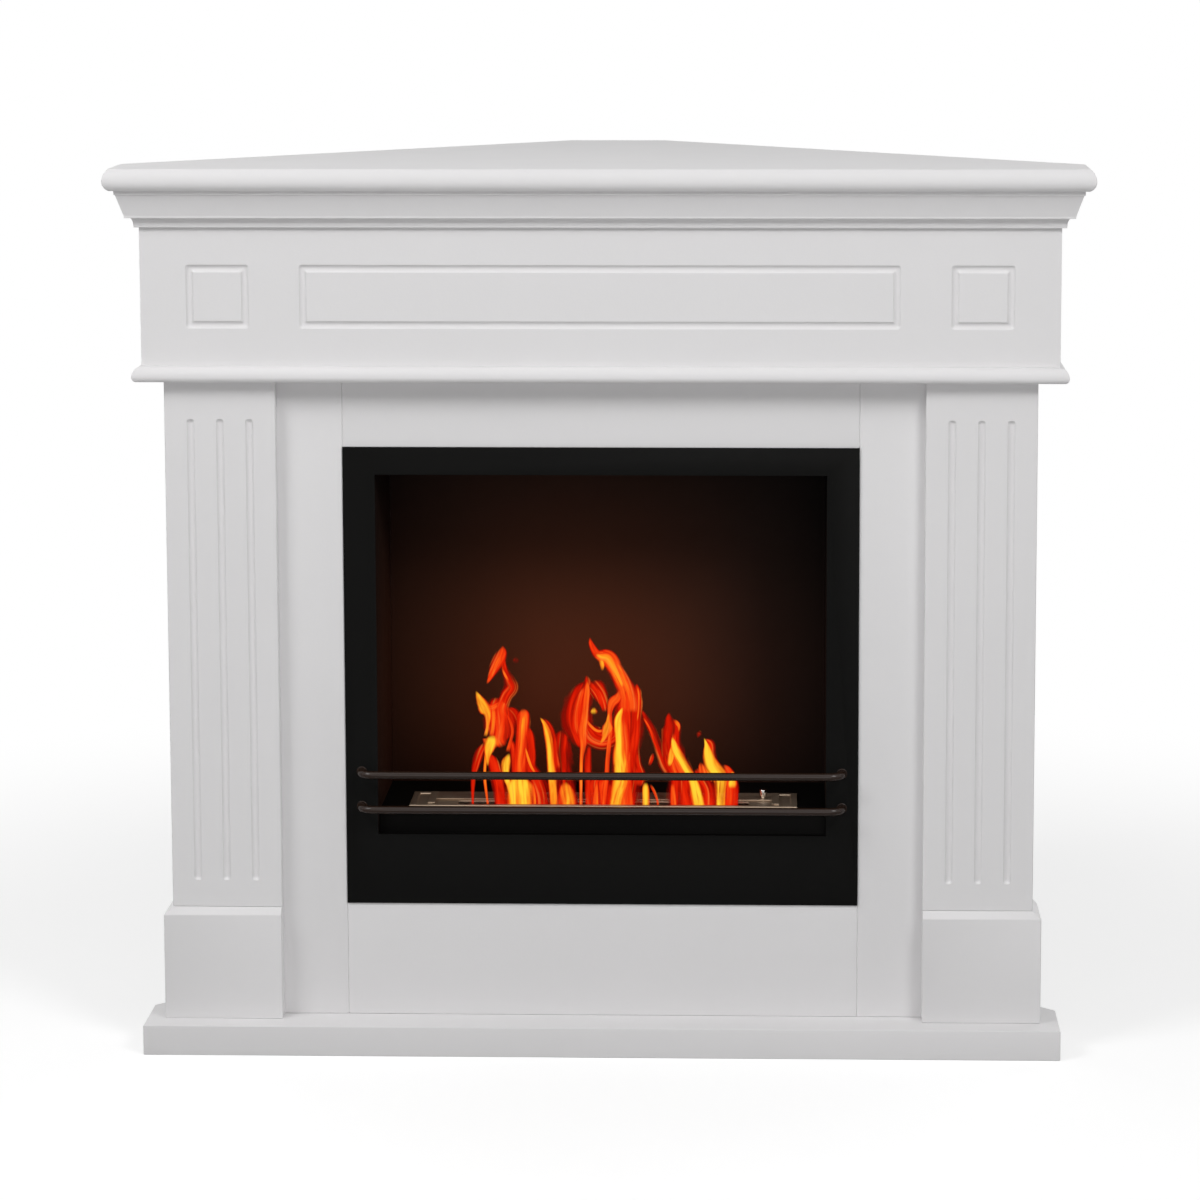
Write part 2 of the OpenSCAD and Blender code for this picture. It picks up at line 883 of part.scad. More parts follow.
module burner_tray() {
    low = deck_z - tray_h;
    color(steel)
        difference() {
            block([-tray_half, tray_y, low], [tray_half, tray_y + tray_d, deck_z]);
            block([-tray_half + tray_wall, tray_y + tray_wall, low + tray_wall],
                [tray_half - tray_wall, tray_y + tray_d - tray_wall, deck_z + 1]);
        }
}

module burner_top() {
    half = burner_w / 2;
    rear = burner_y + burner_d;
    color(steel)
        difference() {
            block([-half, burner_y, deck_z], [half, rear, field_z + rim_h]);
            block([-half + rim_w, field_y, field_z], [half - rim_w, rear - rim_w, field_z + rim_h + 1]);
            block([-slot_w / 2, slot_y, deck_z - 1], [slot_w / 2, slot_y + slot_d, field_z + 1]);
        }
}

module ceramic_wool() {
    gap = tray_wall + wool_clear;
    low = deck_z - tray_h + tray_wall;
    color("ivory")
        block([-tray_half + gap, tray_y + gap, low],
            [tray_half - gap, tray_y + tray_d - gap, deck_z - wool_drop]);
}

// Angle guides at the lid's two ends
module lid_guides() {
    x0 = lid_w / 2 + lid_clear;
    lip_z = lid_z + lid_t + lid_clear;
    rear = burner_y + burner_d - rim_w;
    color(steel)
        both_sides() {
            block([x0, field_y, field_z], [x0 + guide_w, rear, lip_z + guide_t]);
            block([x0 - guide_lip, field_y, lip_z], [x0 + guide_w, rear, lip_z + guide_t]);
        }
}

module burner_lid() {
    color(steel)
        block([-lid_w / 2, lid_y, lid_z], [lid_w / 2, lid_rear_y, lid_z + lid_t]);
}

module lid_knob() {
    neck_h = 3;
    color(steel)
        translate([lid_w / 2 - knob_inset, lid_y + lid_d / 4, lid_z + lid_t]) {
            cylinder(h = neck_h, d = knob_d * 0.6);
            translate([0, 0, neck_h]) cylinder(h = knob_h - neck_h, d = knob_d);
        }
}

base_board();
left_jamb();
right_jamb();
header_panel();
lower_panel();
left_pilaster();
right_pilaster();
left_plinth();
right_plinth();
left_plinth_return();
right_plinth_return();
left_side_panel();
right_side_panel();
ledge_board();
frieze_board();
left_frieze_return();
right_frieze_return();
crown_front();
left_crown();
right_crown();
mantel_shelf();
lower_back_post();
upper_back_post();
joint_cleats();
support_board();
support_posts();
wall_brackets();
wall_bracket_screws();
base_screws();
front_frame();
firebox_back();
firebox_left();
firebox_right();
firebox_top();
firebox_floor();
burner_deck();
upper_guard_rail();
lower_guard_rail();
rail_collars();
rail_nuts();
clamp_brackets();
clamp_screws();
burner_tray();
burner_top();
ceramic_wool();
lid_guides();
burner_lid();
lid_knob();
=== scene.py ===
# Corner fireplace: a lacquered corner mantel round a black steel firebox with an ethanol burner.
# Metres. X runs across the front, -Y faces the room, Z is up, and the floor is at z = 0.
import json
from math import pi, radians

import bmesh
import bpy
import numpy as np
from mathutils import Matrix, Vector


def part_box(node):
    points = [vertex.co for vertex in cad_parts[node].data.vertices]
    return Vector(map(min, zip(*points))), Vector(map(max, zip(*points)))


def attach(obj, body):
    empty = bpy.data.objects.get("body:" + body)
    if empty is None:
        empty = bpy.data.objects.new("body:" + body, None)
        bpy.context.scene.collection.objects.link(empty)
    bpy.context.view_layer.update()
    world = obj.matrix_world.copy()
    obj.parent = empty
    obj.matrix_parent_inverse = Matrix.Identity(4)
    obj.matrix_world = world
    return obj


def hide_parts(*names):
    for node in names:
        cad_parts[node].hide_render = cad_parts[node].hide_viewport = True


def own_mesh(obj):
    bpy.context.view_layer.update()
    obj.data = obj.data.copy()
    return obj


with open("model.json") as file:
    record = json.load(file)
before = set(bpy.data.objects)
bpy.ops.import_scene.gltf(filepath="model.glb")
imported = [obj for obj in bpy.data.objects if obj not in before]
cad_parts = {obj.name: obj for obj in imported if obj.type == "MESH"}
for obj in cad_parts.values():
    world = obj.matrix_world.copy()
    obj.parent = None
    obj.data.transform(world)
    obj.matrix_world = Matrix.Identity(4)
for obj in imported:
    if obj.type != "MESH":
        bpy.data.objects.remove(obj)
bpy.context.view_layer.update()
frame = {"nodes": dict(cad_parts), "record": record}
bodyOf = {node: body for body, nodes in frame["record"]["behaviour"]["bodies"].items() for node in nodes}

cameraView = {
    "lens": 120, "sensor": 36, "shift": (-0.0532, -0.12),
    "place": (0.2086, -4.91168, 1.3437),
    "turn": 0.0287, "tilt": 0.13407, "roll": -0.00125,
}
cameraData = bpy.data.cameras.new("camera")
cameraData.lens = cameraView["lens"]
cameraData.sensor_width = cameraView["sensor"]
cameraData.shift_x, cameraData.shift_y = cameraView["shift"]
camera = bpy.data.objects.new("camera", cameraData)
camera.matrix_world = (Matrix.Translation(cameraView["place"])
                       @ Matrix.Rotation(cameraView["turn"], 4, "Z")
                       @ Matrix.Rotation(pi / 2 - cameraView["tilt"], 4, "X")
                       @ Matrix.Rotation(cameraView["roll"], 4, "Z"))
bpy.context.scene.collection.objects.link(camera)
bpy.context.scene.camera = camera
bpy.context.scene.view_settings.view_transform = "Standard"
print("camera placed")


# Shader helpers
def addNode(tree, kind, values=None, **settings):
    # A socket among the values is linked, and a plain value is set
    node = tree.nodes.new(kind)
    for key, value in settings.items():
        setattr(node, key, value)
    for key, value in (values or {}).items():
        if isinstance(value, bpy.types.NodeSocket):
            tree.links.new(value, node.inputs[key])
        else:
            node.inputs[key].default_value = value
    return node


def mathNode(tree, operation, a, b=0.0, c=0.0):
    return addNode(tree, "ShaderNodeMath", {0: a, 1: b, 2: c}, operation=operation).outputs[0]


def vectorMath(tree, operation, a, b=(0, 0, 0), output="Vector"):
    return addNode(tree, "ShaderNodeVectorMath", {0: a, 1: b}, operation=operation).outputs[output]


def wander(tree, noise, spread, middle):
    # middle + spread * (2 * noise - 1)
    return mathNode(tree, "MULTIPLY_ADD", mathNode(tree, "MULTIPLY_ADD", noise, 2.0, -1.0), spread, middle)


def rangeNode(tree, value, low, high, newLow, newHigh, smooth=True):
    return addNode(tree, "ShaderNodeMapRange", {"Value": value, "From Min": low, "From Max": high,
                   "To Min": newLow, "To Max": newHigh},
                   interpolation_type="SMOOTHSTEP" if smooth else "LINEAR").outputs["Result"]


def mixColour(tree, factor, a, b, blend="MIX"):
    # Inputs 6 and 7 and output 2 are the Mix node's colours
    return addNode(tree, "ShaderNodeMix", {"Factor": factor, 6: a, 7: b},
                   data_type="RGBA", blend_type=blend).outputs[2]


def brightened(tree, colour, tone):
    return addNode(tree, "ShaderNodeVectorMath", {0: colour, "Scale": tone}, operation="SCALE").outputs[0]


def noiseNode(tree, vector, scale, detail=3.0, rough=0.5, warp=0.0):
    return addNode(tree, "ShaderNodeTexNoise", {"Vector": vector, "Scale": scale, "Detail": detail,
                   "Roughness": rough, "Distortion": warp}).outputs["Fac"]


def stretched(tree, vector, scale):
    return addNode(tree, "ShaderNodeMapping", {"Vector": vector, "Scale": scale}).outputs["Vector"]


def newGroup(name, inputs):
    # A skin: what it is given, and the colour, roughness and height that it puts out
    group = bpy.data.node_groups.new(name, "ShaderNodeTree")
    for label, kind, value in inputs:
        group.interface.new_socket(label, in_out="INPUT", socket_type=kind).default_value = value
    for label, kind in (("Colour", "NodeSocketColor"), ("Roughness", "NodeSocketFloat"),
                        ("Height", "NodeSocketFloat")):
        group.interface.new_socket(label, in_out="OUTPUT", socket_type=kind)
    return group, group.nodes.new("NodeGroupInput").outputs, group.nodes.new("NodeGroupOutput").inputs


def clearTree(owner):
    owner.use_nodes = True
    owner.node_tree.nodes.clear()
    return owner.node_tree


def newFinish(name):
    finish = bpy.data.materials.new(name)
    tree = clearTree(finish)
    shader = tree.nodes.new("ShaderNodeBsdfPrincipled")
    output = tree.nodes.new("ShaderNodeOutputMaterial")
    tree.links.new(shader.outputs[0], output.inputs["Surface"])
    return finish, tree, shader, tree.nodes.new("ShaderNodeTexCoord").outputs["Object"]


def bumpInto(tree, shader, height, distance):
    bump = addNode(tree, "ShaderNodeBump", {"Height": height, "Distance": distance})
    tree.links.new(bump.outputs["Normal"], shader.inputs["Normal"])


def putOn(tree, shader, skin, depth):
    tree.links.new(skin.outputs["Colour"], shader.inputs["Base Color"])
    tree.links.new(skin.outputs["Roughness"], shader.inputs["Roughness"])
    bumpInto(tree, shader, skin.outputs["Height"], depth)


# Sprayed skin: a slow mottle in the tone, a faint cloud in the gloss and the fine peel of the spray
sprayedSkin, given, result = newGroup("sprayedSkin", [
    ("Place", "NodeSocketVector", (0, 0, 0)), ("Colour", "NodeSocketColor", (1, 1, 1, 1)),
    ("Mottle", "NodeSocketFloat", 0.02), ("Mottle Scale", "NodeSocketFloat", 6.0),
    ("Peel Scale", "NodeSocketFloat", 500.0), ("Gloss", "NodeSocketFloat", 0.4),
    ("Gloss Spread", "NodeSocketFloat", 0.05)])
tree = sprayedSkin
slow = noiseNode(tree, given["Place"], given["Mottle Scale"], detail=4, rough=0.55, warp=0.4)
cloudScale = mathNode(tree, "MULTIPLY", given["Mottle Scale"], 5.0)  # five clouds to a mottle
cloud = noiseNode(tree, given["Place"], cloudScale)
peel = noiseNode(tree, given["Place"], given["Peel Scale"], detail=2, rough=0.4)
tree.links.new(brightened(tree, given["Colour"], wander(tree, slow, given["Mottle"], 1.0)), result["Colour"])
tree.links.new(wander(tree, cloud, given["Gloss Spread"], given["Gloss"]), result["Roughness"])
tree.links.new(peel, result["Height"])

# Rolled and brushed steel: fine streaks along one direction, over broad bands of the mill's rolling
brushedGrain, given, result = newGroup("brushedGrain", [
    ("Place", "NodeSocketVector", (0, 0, 0)), ("Colour", "NodeSocketColor", (1, 1, 1, 1)),
    ("Streak Stretch", "NodeSocketVector", (8, 900, 900)), ("Contrast", "NodeSocketFloat", 0.1),
    ("Gloss", "NodeSocketFloat", 0.3), ("Gloss Spread", "NodeSocketFloat", 0.1)])
tree = brushedGrain
along = vectorMath(tree, "MULTIPLY", given["Place"], given["Streak Stretch"])
streak = noiseNode(tree, along, 1.0, detail=4, rough=0.6)
band = noiseNode(tree, along, 0.08, detail=2)
bandShare = 0.4
both = mathNode(tree, "MULTIPLY_ADD", band, bandShare, mathNode(tree, "MULTIPLY", streak, 1 - bandShare))
tone = wander(tree, both, given["Contrast"], 1.0)
tree.links.new(brightened(tree, given["Colour"], tone), result["Colour"])
tree.links.new(wander(tree, both, given["Gloss Spread"], given["Gloss"]), result["Roughness"])
tree.links.new(streak, result["Height"])


def sprayedFinish(name, look):
    finish, tree, shader, place = newFinish(name)
    skin = addNode(tree, "ShaderNodeGroup", {
        "Place": place, "Colour": (*look["colour"], 1), "Mottle": look["mottle"],
        "Mottle Scale": look["mottleScale"], "Peel Scale": look["peelScale"],
        "Gloss": look["gloss"], "Gloss Spread": look["glossSpread"]}, node_tree=sprayedSkin)
    putOn(tree, shader, skin, look["peelDepth"])
    shader.inputs["Specular IOR Level"].default_value = look["specular"]
    return finish, tree, shader, place, skin


def brushedFinish(name, look):
    finish, tree, shader, place = newFinish(name)
    grain = addNode(tree, "ShaderNodeGroup", {
        "Place": place, "Colour": (*look["colour"], 1), "Streak Stretch": look["stretch"],
        "Contrast": look["contrast"], "Gloss": look["gloss"], "Gloss Spread": look["glossSpread"]},
        node_tree=brushedGrain)
    putOn(tree, shader, grain, look["depth"])
    shader.inputs["Metallic"].default_value = 1.0
    return finish, tree, shader, place, grain


lacquerLook = {"colour": (0.80, 0.79, 0.795), "mottle": 0.018, "mottleScale": 5.0, "peelScale": 420.0,
               "peelDepth": 0.00006, "gloss": 0.50, "glossSpread": 0.06, "specular": 0.24}
whiteLacquer = sprayedFinish("white_lacquer", lacquerLook)[0]

coatLook = {"colour": (0.0056, 0.0055, 0.0052), "mottle": 0.10, "mottleScale": 9.0, "peelScale": 1500.0,
            "peelDepth": 0.00008, "gloss": 0.55, "glossSpread": 0.06, "specular": 0.05}
blackCoat = sprayedFinish("black_coat", coatLook)[0]
# A darker copy of the black coat: painted shade for the firebox floor and the burner deck
paintedShadeCoat = sprayedFinish("painted_shade_coat", {**coatLook, "colour": (0.0022, 0.0020, 0.0018)})[0]

# Black enamel with a brown tint: the fire's warm reflection, painted into its colour
enamelLook = {"colour": (0.020, 0.0095, 0.0055), "mottle": 0.15, "mottleScale": 20.0, "peelScale": 700.0,
              "peelDepth": 0.00004, "gloss": 0.24, "glossSpread": 0.06, "specular": 0.32}
railEnamel = sprayedFinish("rail_coat", enamelLook)[0]

# The steel's brown tint is the fire's warm glow, painted into the metal's colour
steelLook = {"colour": (0.44, 0.34, 0.25), "stretch": (9, 1100, 1100), "contrast": 0.16,
             "gloss": 0.48, "glossSpread": 0.10, "depth": 0.00003}
brushedSteel = brushedFinish("stainless", steelLook)[0]

polishLook = {"colour": (0.75, 0.74, 0.72), "stretch": (300, 300, 1400), "contrast": 0.05,
              "gloss": 0.14, "glossSpread": 0.05, "depth": 0.00001}
polishedSteel = brushedFinish("polished_steel", polishLook)[0]

# Zinc plate: the streaks of rolled steel under the spangle's facets, each of its own tone
zincLook = {"colour": (0.52, 0.53, 0.55), "stretch": (60, 900, 900), "contrast": 0.08,
            "gloss": 0.42, "glossSpread": 0.10, "depth": 0.00002, "spangle": 260.0, "facet": 0.35}
zincPlate, tree, shader, place, grain = brushedFinish("zinc_steel", zincLook)
facets = addNode(tree, "ShaderNodeTexVoronoi", {"Vector": place, "Scale": zincLook["spangle"]})
facetTone = rangeNode(tree, facets.outputs["Color"], 0, 1, 1 - zincLook["facet"], 1, False)
spangled = mixColour(tree, 1.0, grain.outputs["Colour"], facetTone, "MULTIPLY")
tree.links.new(spangled, shader.inputs["Base Color"])

# Bare board: a grain of long pale and dark bands over fine fibres, with dark specks between them
boardLook = {"pale": (0.56, 0.41, 0.25, 1), "dark": (0.27, 0.17, 0.09, 1), "across": 70.0, "along": 3.0,
             "band": (0.3, 0.7), "bandShare": 0.6, "fibre": 9.0, "fibreShare": 0.5, "speckScale": 900.0,
             "speck": (0.62, 0.72), "speckShare": 0.7, "gloss": (0.94, 0.78), "depth": 0.0003}


def bareFinish(name, grainAxis):
    finish, tree, shader, place = newFinish(name)
    stretch = [boardLook["across"]] * 3
    stretch[grainAxis] = boardLook["along"]
    lengthwise = stretched(tree, place, stretch)
    grain = noiseNode(tree, lengthwise, 1.0, rough=0.55, warp=0.6)
    fibre = noiseNode(tree, lengthwise, boardLook["fibre"], detail=6, rough=0.65, warp=0.8)
    speck = rangeNode(tree, noiseNode(tree, place, boardLook["speckScale"], detail=2), *boardLook["speck"],
                      0, boardLook["speckShare"])
    tone = mathNode(tree, "MULTIPLY_ADD", rangeNode(tree, grain, *boardLook["band"], 0, 1),
                    boardLook["bandShare"], mathNode(tree, "MULTIPLY", fibre, boardLook["fibreShare"]))
    board = mixColour(tree, tone, boardLook["dark"], boardLook["pale"])
    tree.links.new(mixColour(tree, speck, board, boardLook["dark"]), shader.inputs["Base Color"])
    tree.links.new(rangeNode(tree, fibre, 0, 1, *boardLook["gloss"]), shader.inputs["Roughness"])
    bumpInto(tree, shader, fibre, boardLook["depth"])
    return finish


levelBoard, uprightBoard = bareFinish("raw_board", 0), bareFinish("raw_post", 2)

# Ceramic wool: crossing fibres in a pale mat, a little scorched in the middle of its tufts
woolLook = {"colour": (0.74, 0.71, 0.64, 1), "scorch": (0.30, 0.22, 0.15, 1), "scorched": (0.45, 0.75),
            "scorchShare": 0.5, "fibre": (900, 160, 500), "tuft": 130.0, "tuftShare": 0.6,
            "gloss": (0.98, 0.80), "depth": 0.0012}
ceramicWool, tree, shader, place = newFinish("ceramic_wool")
threads = noiseNode(tree, stretched(tree, place, woolLook["fibre"]), 1.0, detail=5, rough=0.7, warp=2.0)
tufts = noiseNode(tree, place, woolLook["tuft"], detail=4, rough=0.6, warp=1.0)
scorched = rangeNode(tree, tufts, *woolLook["scorched"], 0, woolLook["scorchShare"])
tree.links.new(mixColour(tree, scorched, woolLook["colour"], woolLook["scorch"]), shader.inputs["Base Color"])
tree.links.new(rangeNode(tree, threads, 0, 1, *woolLook["gloss"]), shader.inputs["Roughness"])
pile = mathNode(tree, "MULTIPLY_ADD", tufts, woolLook["tuftShare"], threads)
bumpInto(tree, shader, pile, woolLook["depth"])
print("finishes made")


# Mesh helpers
meshing = {"merge": 2e-6, "flat": 0.5, "hardEdge": 30, "bevelSteps": 3}  # metres and degrees


def gridFaces(rows, columns, closed=False):
    # Quads between neighbouring points of a grid that is stored row by row
    row = np.arange(rows - 1)[:, None]
    column = np.arange(columns if closed else columns - 1)[None, :]
    after = (column + 1) % columns
    corners = [row * columns + column, row * columns + after,
               (row + 1) * columns + after, (row + 1) * columns + column]
    return np.stack(corners, -1).reshape(-1, 4)


def ringParts(rings):
    # Rings of points, joined one to the next, with a flat face over the first and the last
    count, around = rings.shape[:2]
    cap = np.arange(around)[None, :]
    return [(rings, gridFaces(count, around, True)), (rings[0], cap), (rings[-1], cap)]


def turnOutwards(mesh, merge=None):
    work = bmesh.new()
    work.from_mesh(mesh)
    if merge:
        bmesh.ops.remove_doubles(work, verts=work.verts, dist=merge)
    bmesh.ops.recalc_face_normals(work, faces=work.faces)
    work.to_mesh(mesh)
    work.free()


def buildMesh(name, parts):
    offset, points, faces = 0, [], []
    for partPoints, partFaces in parts:
        partPoints = partPoints.reshape(-1, 3)
        points.append(partPoints)
        faces += (partFaces + offset).tolist()
        offset += len(partPoints)
    mesh = bpy.data.meshes.new(name)
    mesh.from_pydata(np.concatenate(points).tolist(), [], faces)
    turnOutwards(mesh, meshing["merge"])
    return mesh


def makePiece(mesh, finish, body, ease=0.0, sharp=35):
    # Shaded smooth over edges flatter than the angle sharp, or with its edges eased by a bevel
    mesh.materials.clear()
    mesh.materials.append(finish)
    mesh.shade_smooth()
    if not ease:
        mesh.set_sharp_from_angle(angle=radians(sharp))
    piece = bpy.data.objects.new(mesh.name, mesh)
    bpy.context.scene.collection.objects.link(piece)
    if ease:
        bevel = piece.modifiers.new("eased", "BEVEL")
        bevel.width = ease
        bevel.segments = meshing["bevelSteps"]
        bevel.limit_method = "WEIGHT" if "bevel_weight_edge" in mesh.attributes else "ANGLE"
        bevel.angle_limit = radians(meshing["hardEdge"])
        bevel.use_clamp_overlap = False
        bevel.harden_normals = True
    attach(piece, body)
    return piece


def redraw(node, mesh, finish, ease=0.0, sharp=35):
    # The mesh takes the node's place, on the node's own body
    piece = makePiece(mesh, finish, bodyOf[node], ease, sharp)
    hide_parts(node)


def easedCopy(node, finish, ease, shortest=0.004, rimAbove=None, belowShare=1.0):
    # A node's own mesh, merged, its flat faces joined and its long sharp edges eased: by the full ease, or
    # below the height rimAbove by a share of it. Sharp edges no longer than shortest are left as they are
    work = bmesh.new()
    work.from_mesh(frame["nodes"][node].data)
    bmesh.ops.remove_doubles(work, verts=work.verts, dist=meshing["merge"])
    bmesh.ops.dissolve_limit(work, angle_limit=radians(meshing["flat"]), verts=work.verts, edges=work.edges)
    weight = work.edges.layers.float.new("bevel_weight_edge")
    for edge in work.edges:
        if edge.is_manifold and edge.calc_face_angle() > radians(meshing["hardEdge"]):
            low = rimAbove is not None and min(corner.co.z for corner in edge.verts) < rimAbove
            if edge.calc_length() > shortest:
                edge[weight] = belowShare if low else 1.0
            else:
                edge.smooth = False
    mesh = bpy.data.meshes.new("eased_" + node)
    work.to_mesh(mesh)
    work.free()
    redraw(node, mesh, finish, ease)


def corners(node):
    low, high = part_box(node)
    return np.array(low), np.array(high)


def grooveLines(middle, width):
    # Where the grid needs lines to follow a groove: close together over its lips, which are at 1 half width
    shares = np.array([0.3, 0.6, 0.86, 1, 1.15, 1.5])
    return middle + width / 2 * np.concatenate([-shares[::-1], [0], shares])


def ballCut(distance, width, depth):
    # Depth left by a ball cutter of radius r at a distance from its path: the ball's circle, less the height
    # of its middle above the face, with the lip softened by (cut + sqrt(cut^2 + soft^2)) / 2
    r = (width ** 2 / 4 + depth ** 2) / (2 * depth)
    cut = np.sqrt(np.maximum(r ** 2 - distance ** 2, 0)) - (r - depth)
    cut = np.where(distance < r, cut, -r)
    soft = 0.00025
    return (cut + np.sqrt(cut ** 2 + soft ** 2)) / 2


def boxBoard(name, low, high, ease, xLines=(), zLines=(), depth=None):
    # A board whose front point (x, z) lies depth(x, z) behind the face. Its sides follow the face's rim:
    # at an angle t of the round-over they stand ease*sin(t) outside the rim and ease*(1 - cos(t)) behind it
    x = np.unique(np.concatenate([[low[0] + ease, high[0] - ease], xLines]).round(7))
    z = np.unique(np.concatenate([[low[2] + ease, high[2] - ease], zLines]).round(7))
    gridX, gridZ = np.meshgrid(x, z)
    gridY = low[1] + (depth(gridX, gridZ) if depth else 0 * gridX)
    front = np.stack([gridX, gridY, gridZ], -1)
    sides = [(x, z[0] + 0 * x), (x[-1] + 0 * z, z), (x[::-1], z[-1] + 0 * x), (x[0] + 0 * z, z[::-1])]
    turn = np.array([0.25, 0.5, 0.75]) * pi / 2
    rimX = np.concatenate([part for sideX, sideZ in sides for part in (sideX, sideX[-1] + 0 * turn)])
    rimZ = np.concatenate([part for sideX, sideZ in sides for part in (sideZ, sideZ[-1] + 0 * turn)])
    angle = np.concatenate([part for k, side in enumerate(sides)
                            for part in ((k - 1) * pi / 2 + 0 * side[0], (k - 1) * pi / 2 + turn)])
    t = np.linspace(0, pi / 2, 5)
    out = np.concatenate([ease * np.sin(t), ease * np.sin(t)[::-1]])[:, None]
    y = np.concatenate([low[1] + ease * (1 - np.cos(t)), high[1] - ease * (1 - np.cos(t))[::-1]])[:, None]
    rings = np.stack([rimX + out * np.cos(angle), y + 0 * rimX, rimZ + out * np.sin(angle)], -1)
    back = np.concatenate([np.stack([s[0][:-1], high[1] + 0 * s[0][:-1], s[1][:-1]], -1) for s in sides])
    parts = [(front, gridFaces(len(z), len(x))), (rings, gridFaces(len(rings), len(rimX), True)),
             (back, np.arange(len(back))[None, :])]
    return buildMesh(name, parts)


def outlineRings(outline, levels, insets):
    # A ring at height levels[k] is the outline with its side e moved in by insets[k, e].
    # Side e runs from corner e to the next one, and a corner lies where its two moved sides cross
    outline = np.array(outline, float)
    run = np.roll(outline, -1, 0) - outline
    normal = np.stack([run[:, 1], -run[:, 0]], 1) / np.linalg.norm(run, axis=1)[:, None]
    reach = (normal * outline).sum(1)[None, :] - insets
    last, lastReach = np.roll(normal, 1, 0), np.roll(reach, 1, 1)
    cross = last[:, 0] * normal[:, 1] - last[:, 1] * normal[:, 0]
    x = (lastReach * normal[:, 1] - reach * last[:, 1]) / cross
    y = (last[:, 0] * reach - normal[:, 0] * lastReach) / cross
    return np.stack([x, y, np.broadcast_to(np.array(levels)[:, None], x.shape)], -1)


def tubeParts(path, radii, around=32):
    # A circle carried along a path that lies in a level plane: its middle and radius change from point to
    # point, and it stays square to the path
    run = np.gradient(path, axis=0)
    run /= np.linalg.norm(run, axis=1)[:, None]
    up = np.array([0, 0, 1.0])
    side = np.cross(run, up)
    t = np.linspace(0, 2 * pi, around, endpoint=False)
    rings = (path[:, None, :] + radii[:, None, None]
             * (np.cos(t)[None, :, None] * side[:, None, :] + np.sin(t)[None, :, None] * up))
    return ringParts(rings)


def lathe(middle, axis, profile, around=40):
    # A profile of (radius, distance along the axis) turned about the axis through a point
    axis = np.array(axis, float)
    side = np.cross(axis, [0, 0, 1.0] if abs(axis[2]) < 0.9 else [0, 1.0, 0])
    side /= np.linalg.norm(side)
    other = np.cross(axis, side)
    t = np.linspace(0, 2 * pi, around, endpoint=False)
    circle = np.cos(t)[:, None] * side + np.sin(t)[:, None] * other
    profile = np.array(profile)
    return ringParts(np.array(middle) + profile[:, 0, None, None] * circle + profile[:, 1, None, None] * axis)


def softProfile(points, radius, steps=4):
    # Rounds a closed profile's corners: each becomes a curve that starts and ends radius away from it, or a
    # share of a short side: (1 - t)^2 start + 2t(1 - t) corner + t^2 end
    points, share = np.array(points, float), 0.45
    before = np.roll(points, 1, 0) - points
    after = np.roll(points, -1, 0) - points
    lengthBefore = np.linalg.norm(before, axis=1)[:, None]
    lengthAfter = np.linalg.norm(after, axis=1)[:, None]
    start = points + before / lengthBefore * np.minimum(radius, lengthBefore * share)
    end = points + after / lengthAfter * np.minimum(radius, lengthAfter * share)
    t = np.linspace(0, 1, steps)[None, :, None]
    curve = (1 - t) ** 2 * start[:, None] + 2 * t * (1 - t) * points[:, None] + t ** 2 * end[:, None]
    return curve.reshape(-1, points.shape[1])


# Mantel
boards = {"ease": 0.0012, "jambEase": 0.0013, "shortest": 0.006}
for node in ("left_jamb", "right_jamb", "header_panel", "lower_panel"):
    redraw(node, boxBoard("eased_" + node, *corners(node), boards["jambEase"]), whiteLacquer)
for node in ("base_board", "left_plinth", "right_plinth", "left_plinth_return", "right_plinth_return",
             "left_side_panel", "right_side_panel", "left_frieze_return", "right_frieze_return"):
    easedCopy(node, whiteLacquer, boards["ease"], boards["shortest"])

# Pilasters: three flutes with round ends, run with a ball cutter
flutes = {"count": 3, "pitch": 0.0346, "width": 0.009, "depth": 0.0032, "foot": 0.037, "head": 0.050,
          "ease": 0.0012}
for node in ("left_pilaster", "right_pilaster"):
    low, high = corners(node)
    middles = flutes["pitch"] * (np.arange(flutes["count"]) - (flutes["count"] - 1) / 2)
    middles += (low[0] + high[0]) / 2
    start, finish = low[2] + flutes["foot"], high[2] - flutes["head"]

    def fluteDepth(x, z):
        # Distance to the nearest flute's middle line, which is a straight piece from start to finish
        across = np.abs(x[..., None] - middles).min(-1)
        past = np.maximum(np.maximum(start - z, z - finish), 0)
        return ballCut(np.hypot(across, past), flutes["width"], flutes["depth"])

    xLines = np.concatenate([grooveLines(middle, flutes["width"]) for middle in middles])
    ends = np.concatenate([grooveLines(start, flutes["width"]), grooveLines(finish, flutes["width"])])
    mesh = boxBoard("fluted_" + node, low, high, flutes["ease"], xLines, ends, fluteDepth)
    redraw(node, mesh, whiteLacquer)

# Frieze: one long and two small panels, each outlined by a routed groove
panels = {"long": 0.347, "smallMiddle": 0.4475, "smallHalf": 0.0325, "foot": 0.0485, "height": 0.066,
          "width": 0.0088, "depth": 0.003, "ease": 0.0003}
low, high = corners("frieze_board")
panelLow = low[2] + panels["foot"]
panelHigh = panelLow + panels["height"]
panelSpans = [(-panels["long"], panels["long"])] + [
    (side * panels["smallMiddle"] - panels["smallHalf"], side * panels["smallMiddle"] + panels["smallHalf"])
    for side in (-1, 1)]


def panelDepth(x, z):
    # Distance to the nearest panel's outline: inside a panel, to its nearest side, and outside, to its
    # nearest point
    nearest = np.full(x.shape, np.inf)
    for left, right in panelSpans:
        outX = np.maximum(left - x, x - right)
        outZ = np.maximum(panelLow - z, z - panelHigh)
        outside = np.hypot(np.maximum(outX, 0), np.maximum(outZ, 0))
        distance = np.where(np.maximum(outX, outZ) > 0, outside, -np.maximum(outX, outZ))
        nearest = np.minimum(nearest, distance)
    return ballCut(nearest, panels["width"], panels["depth"])


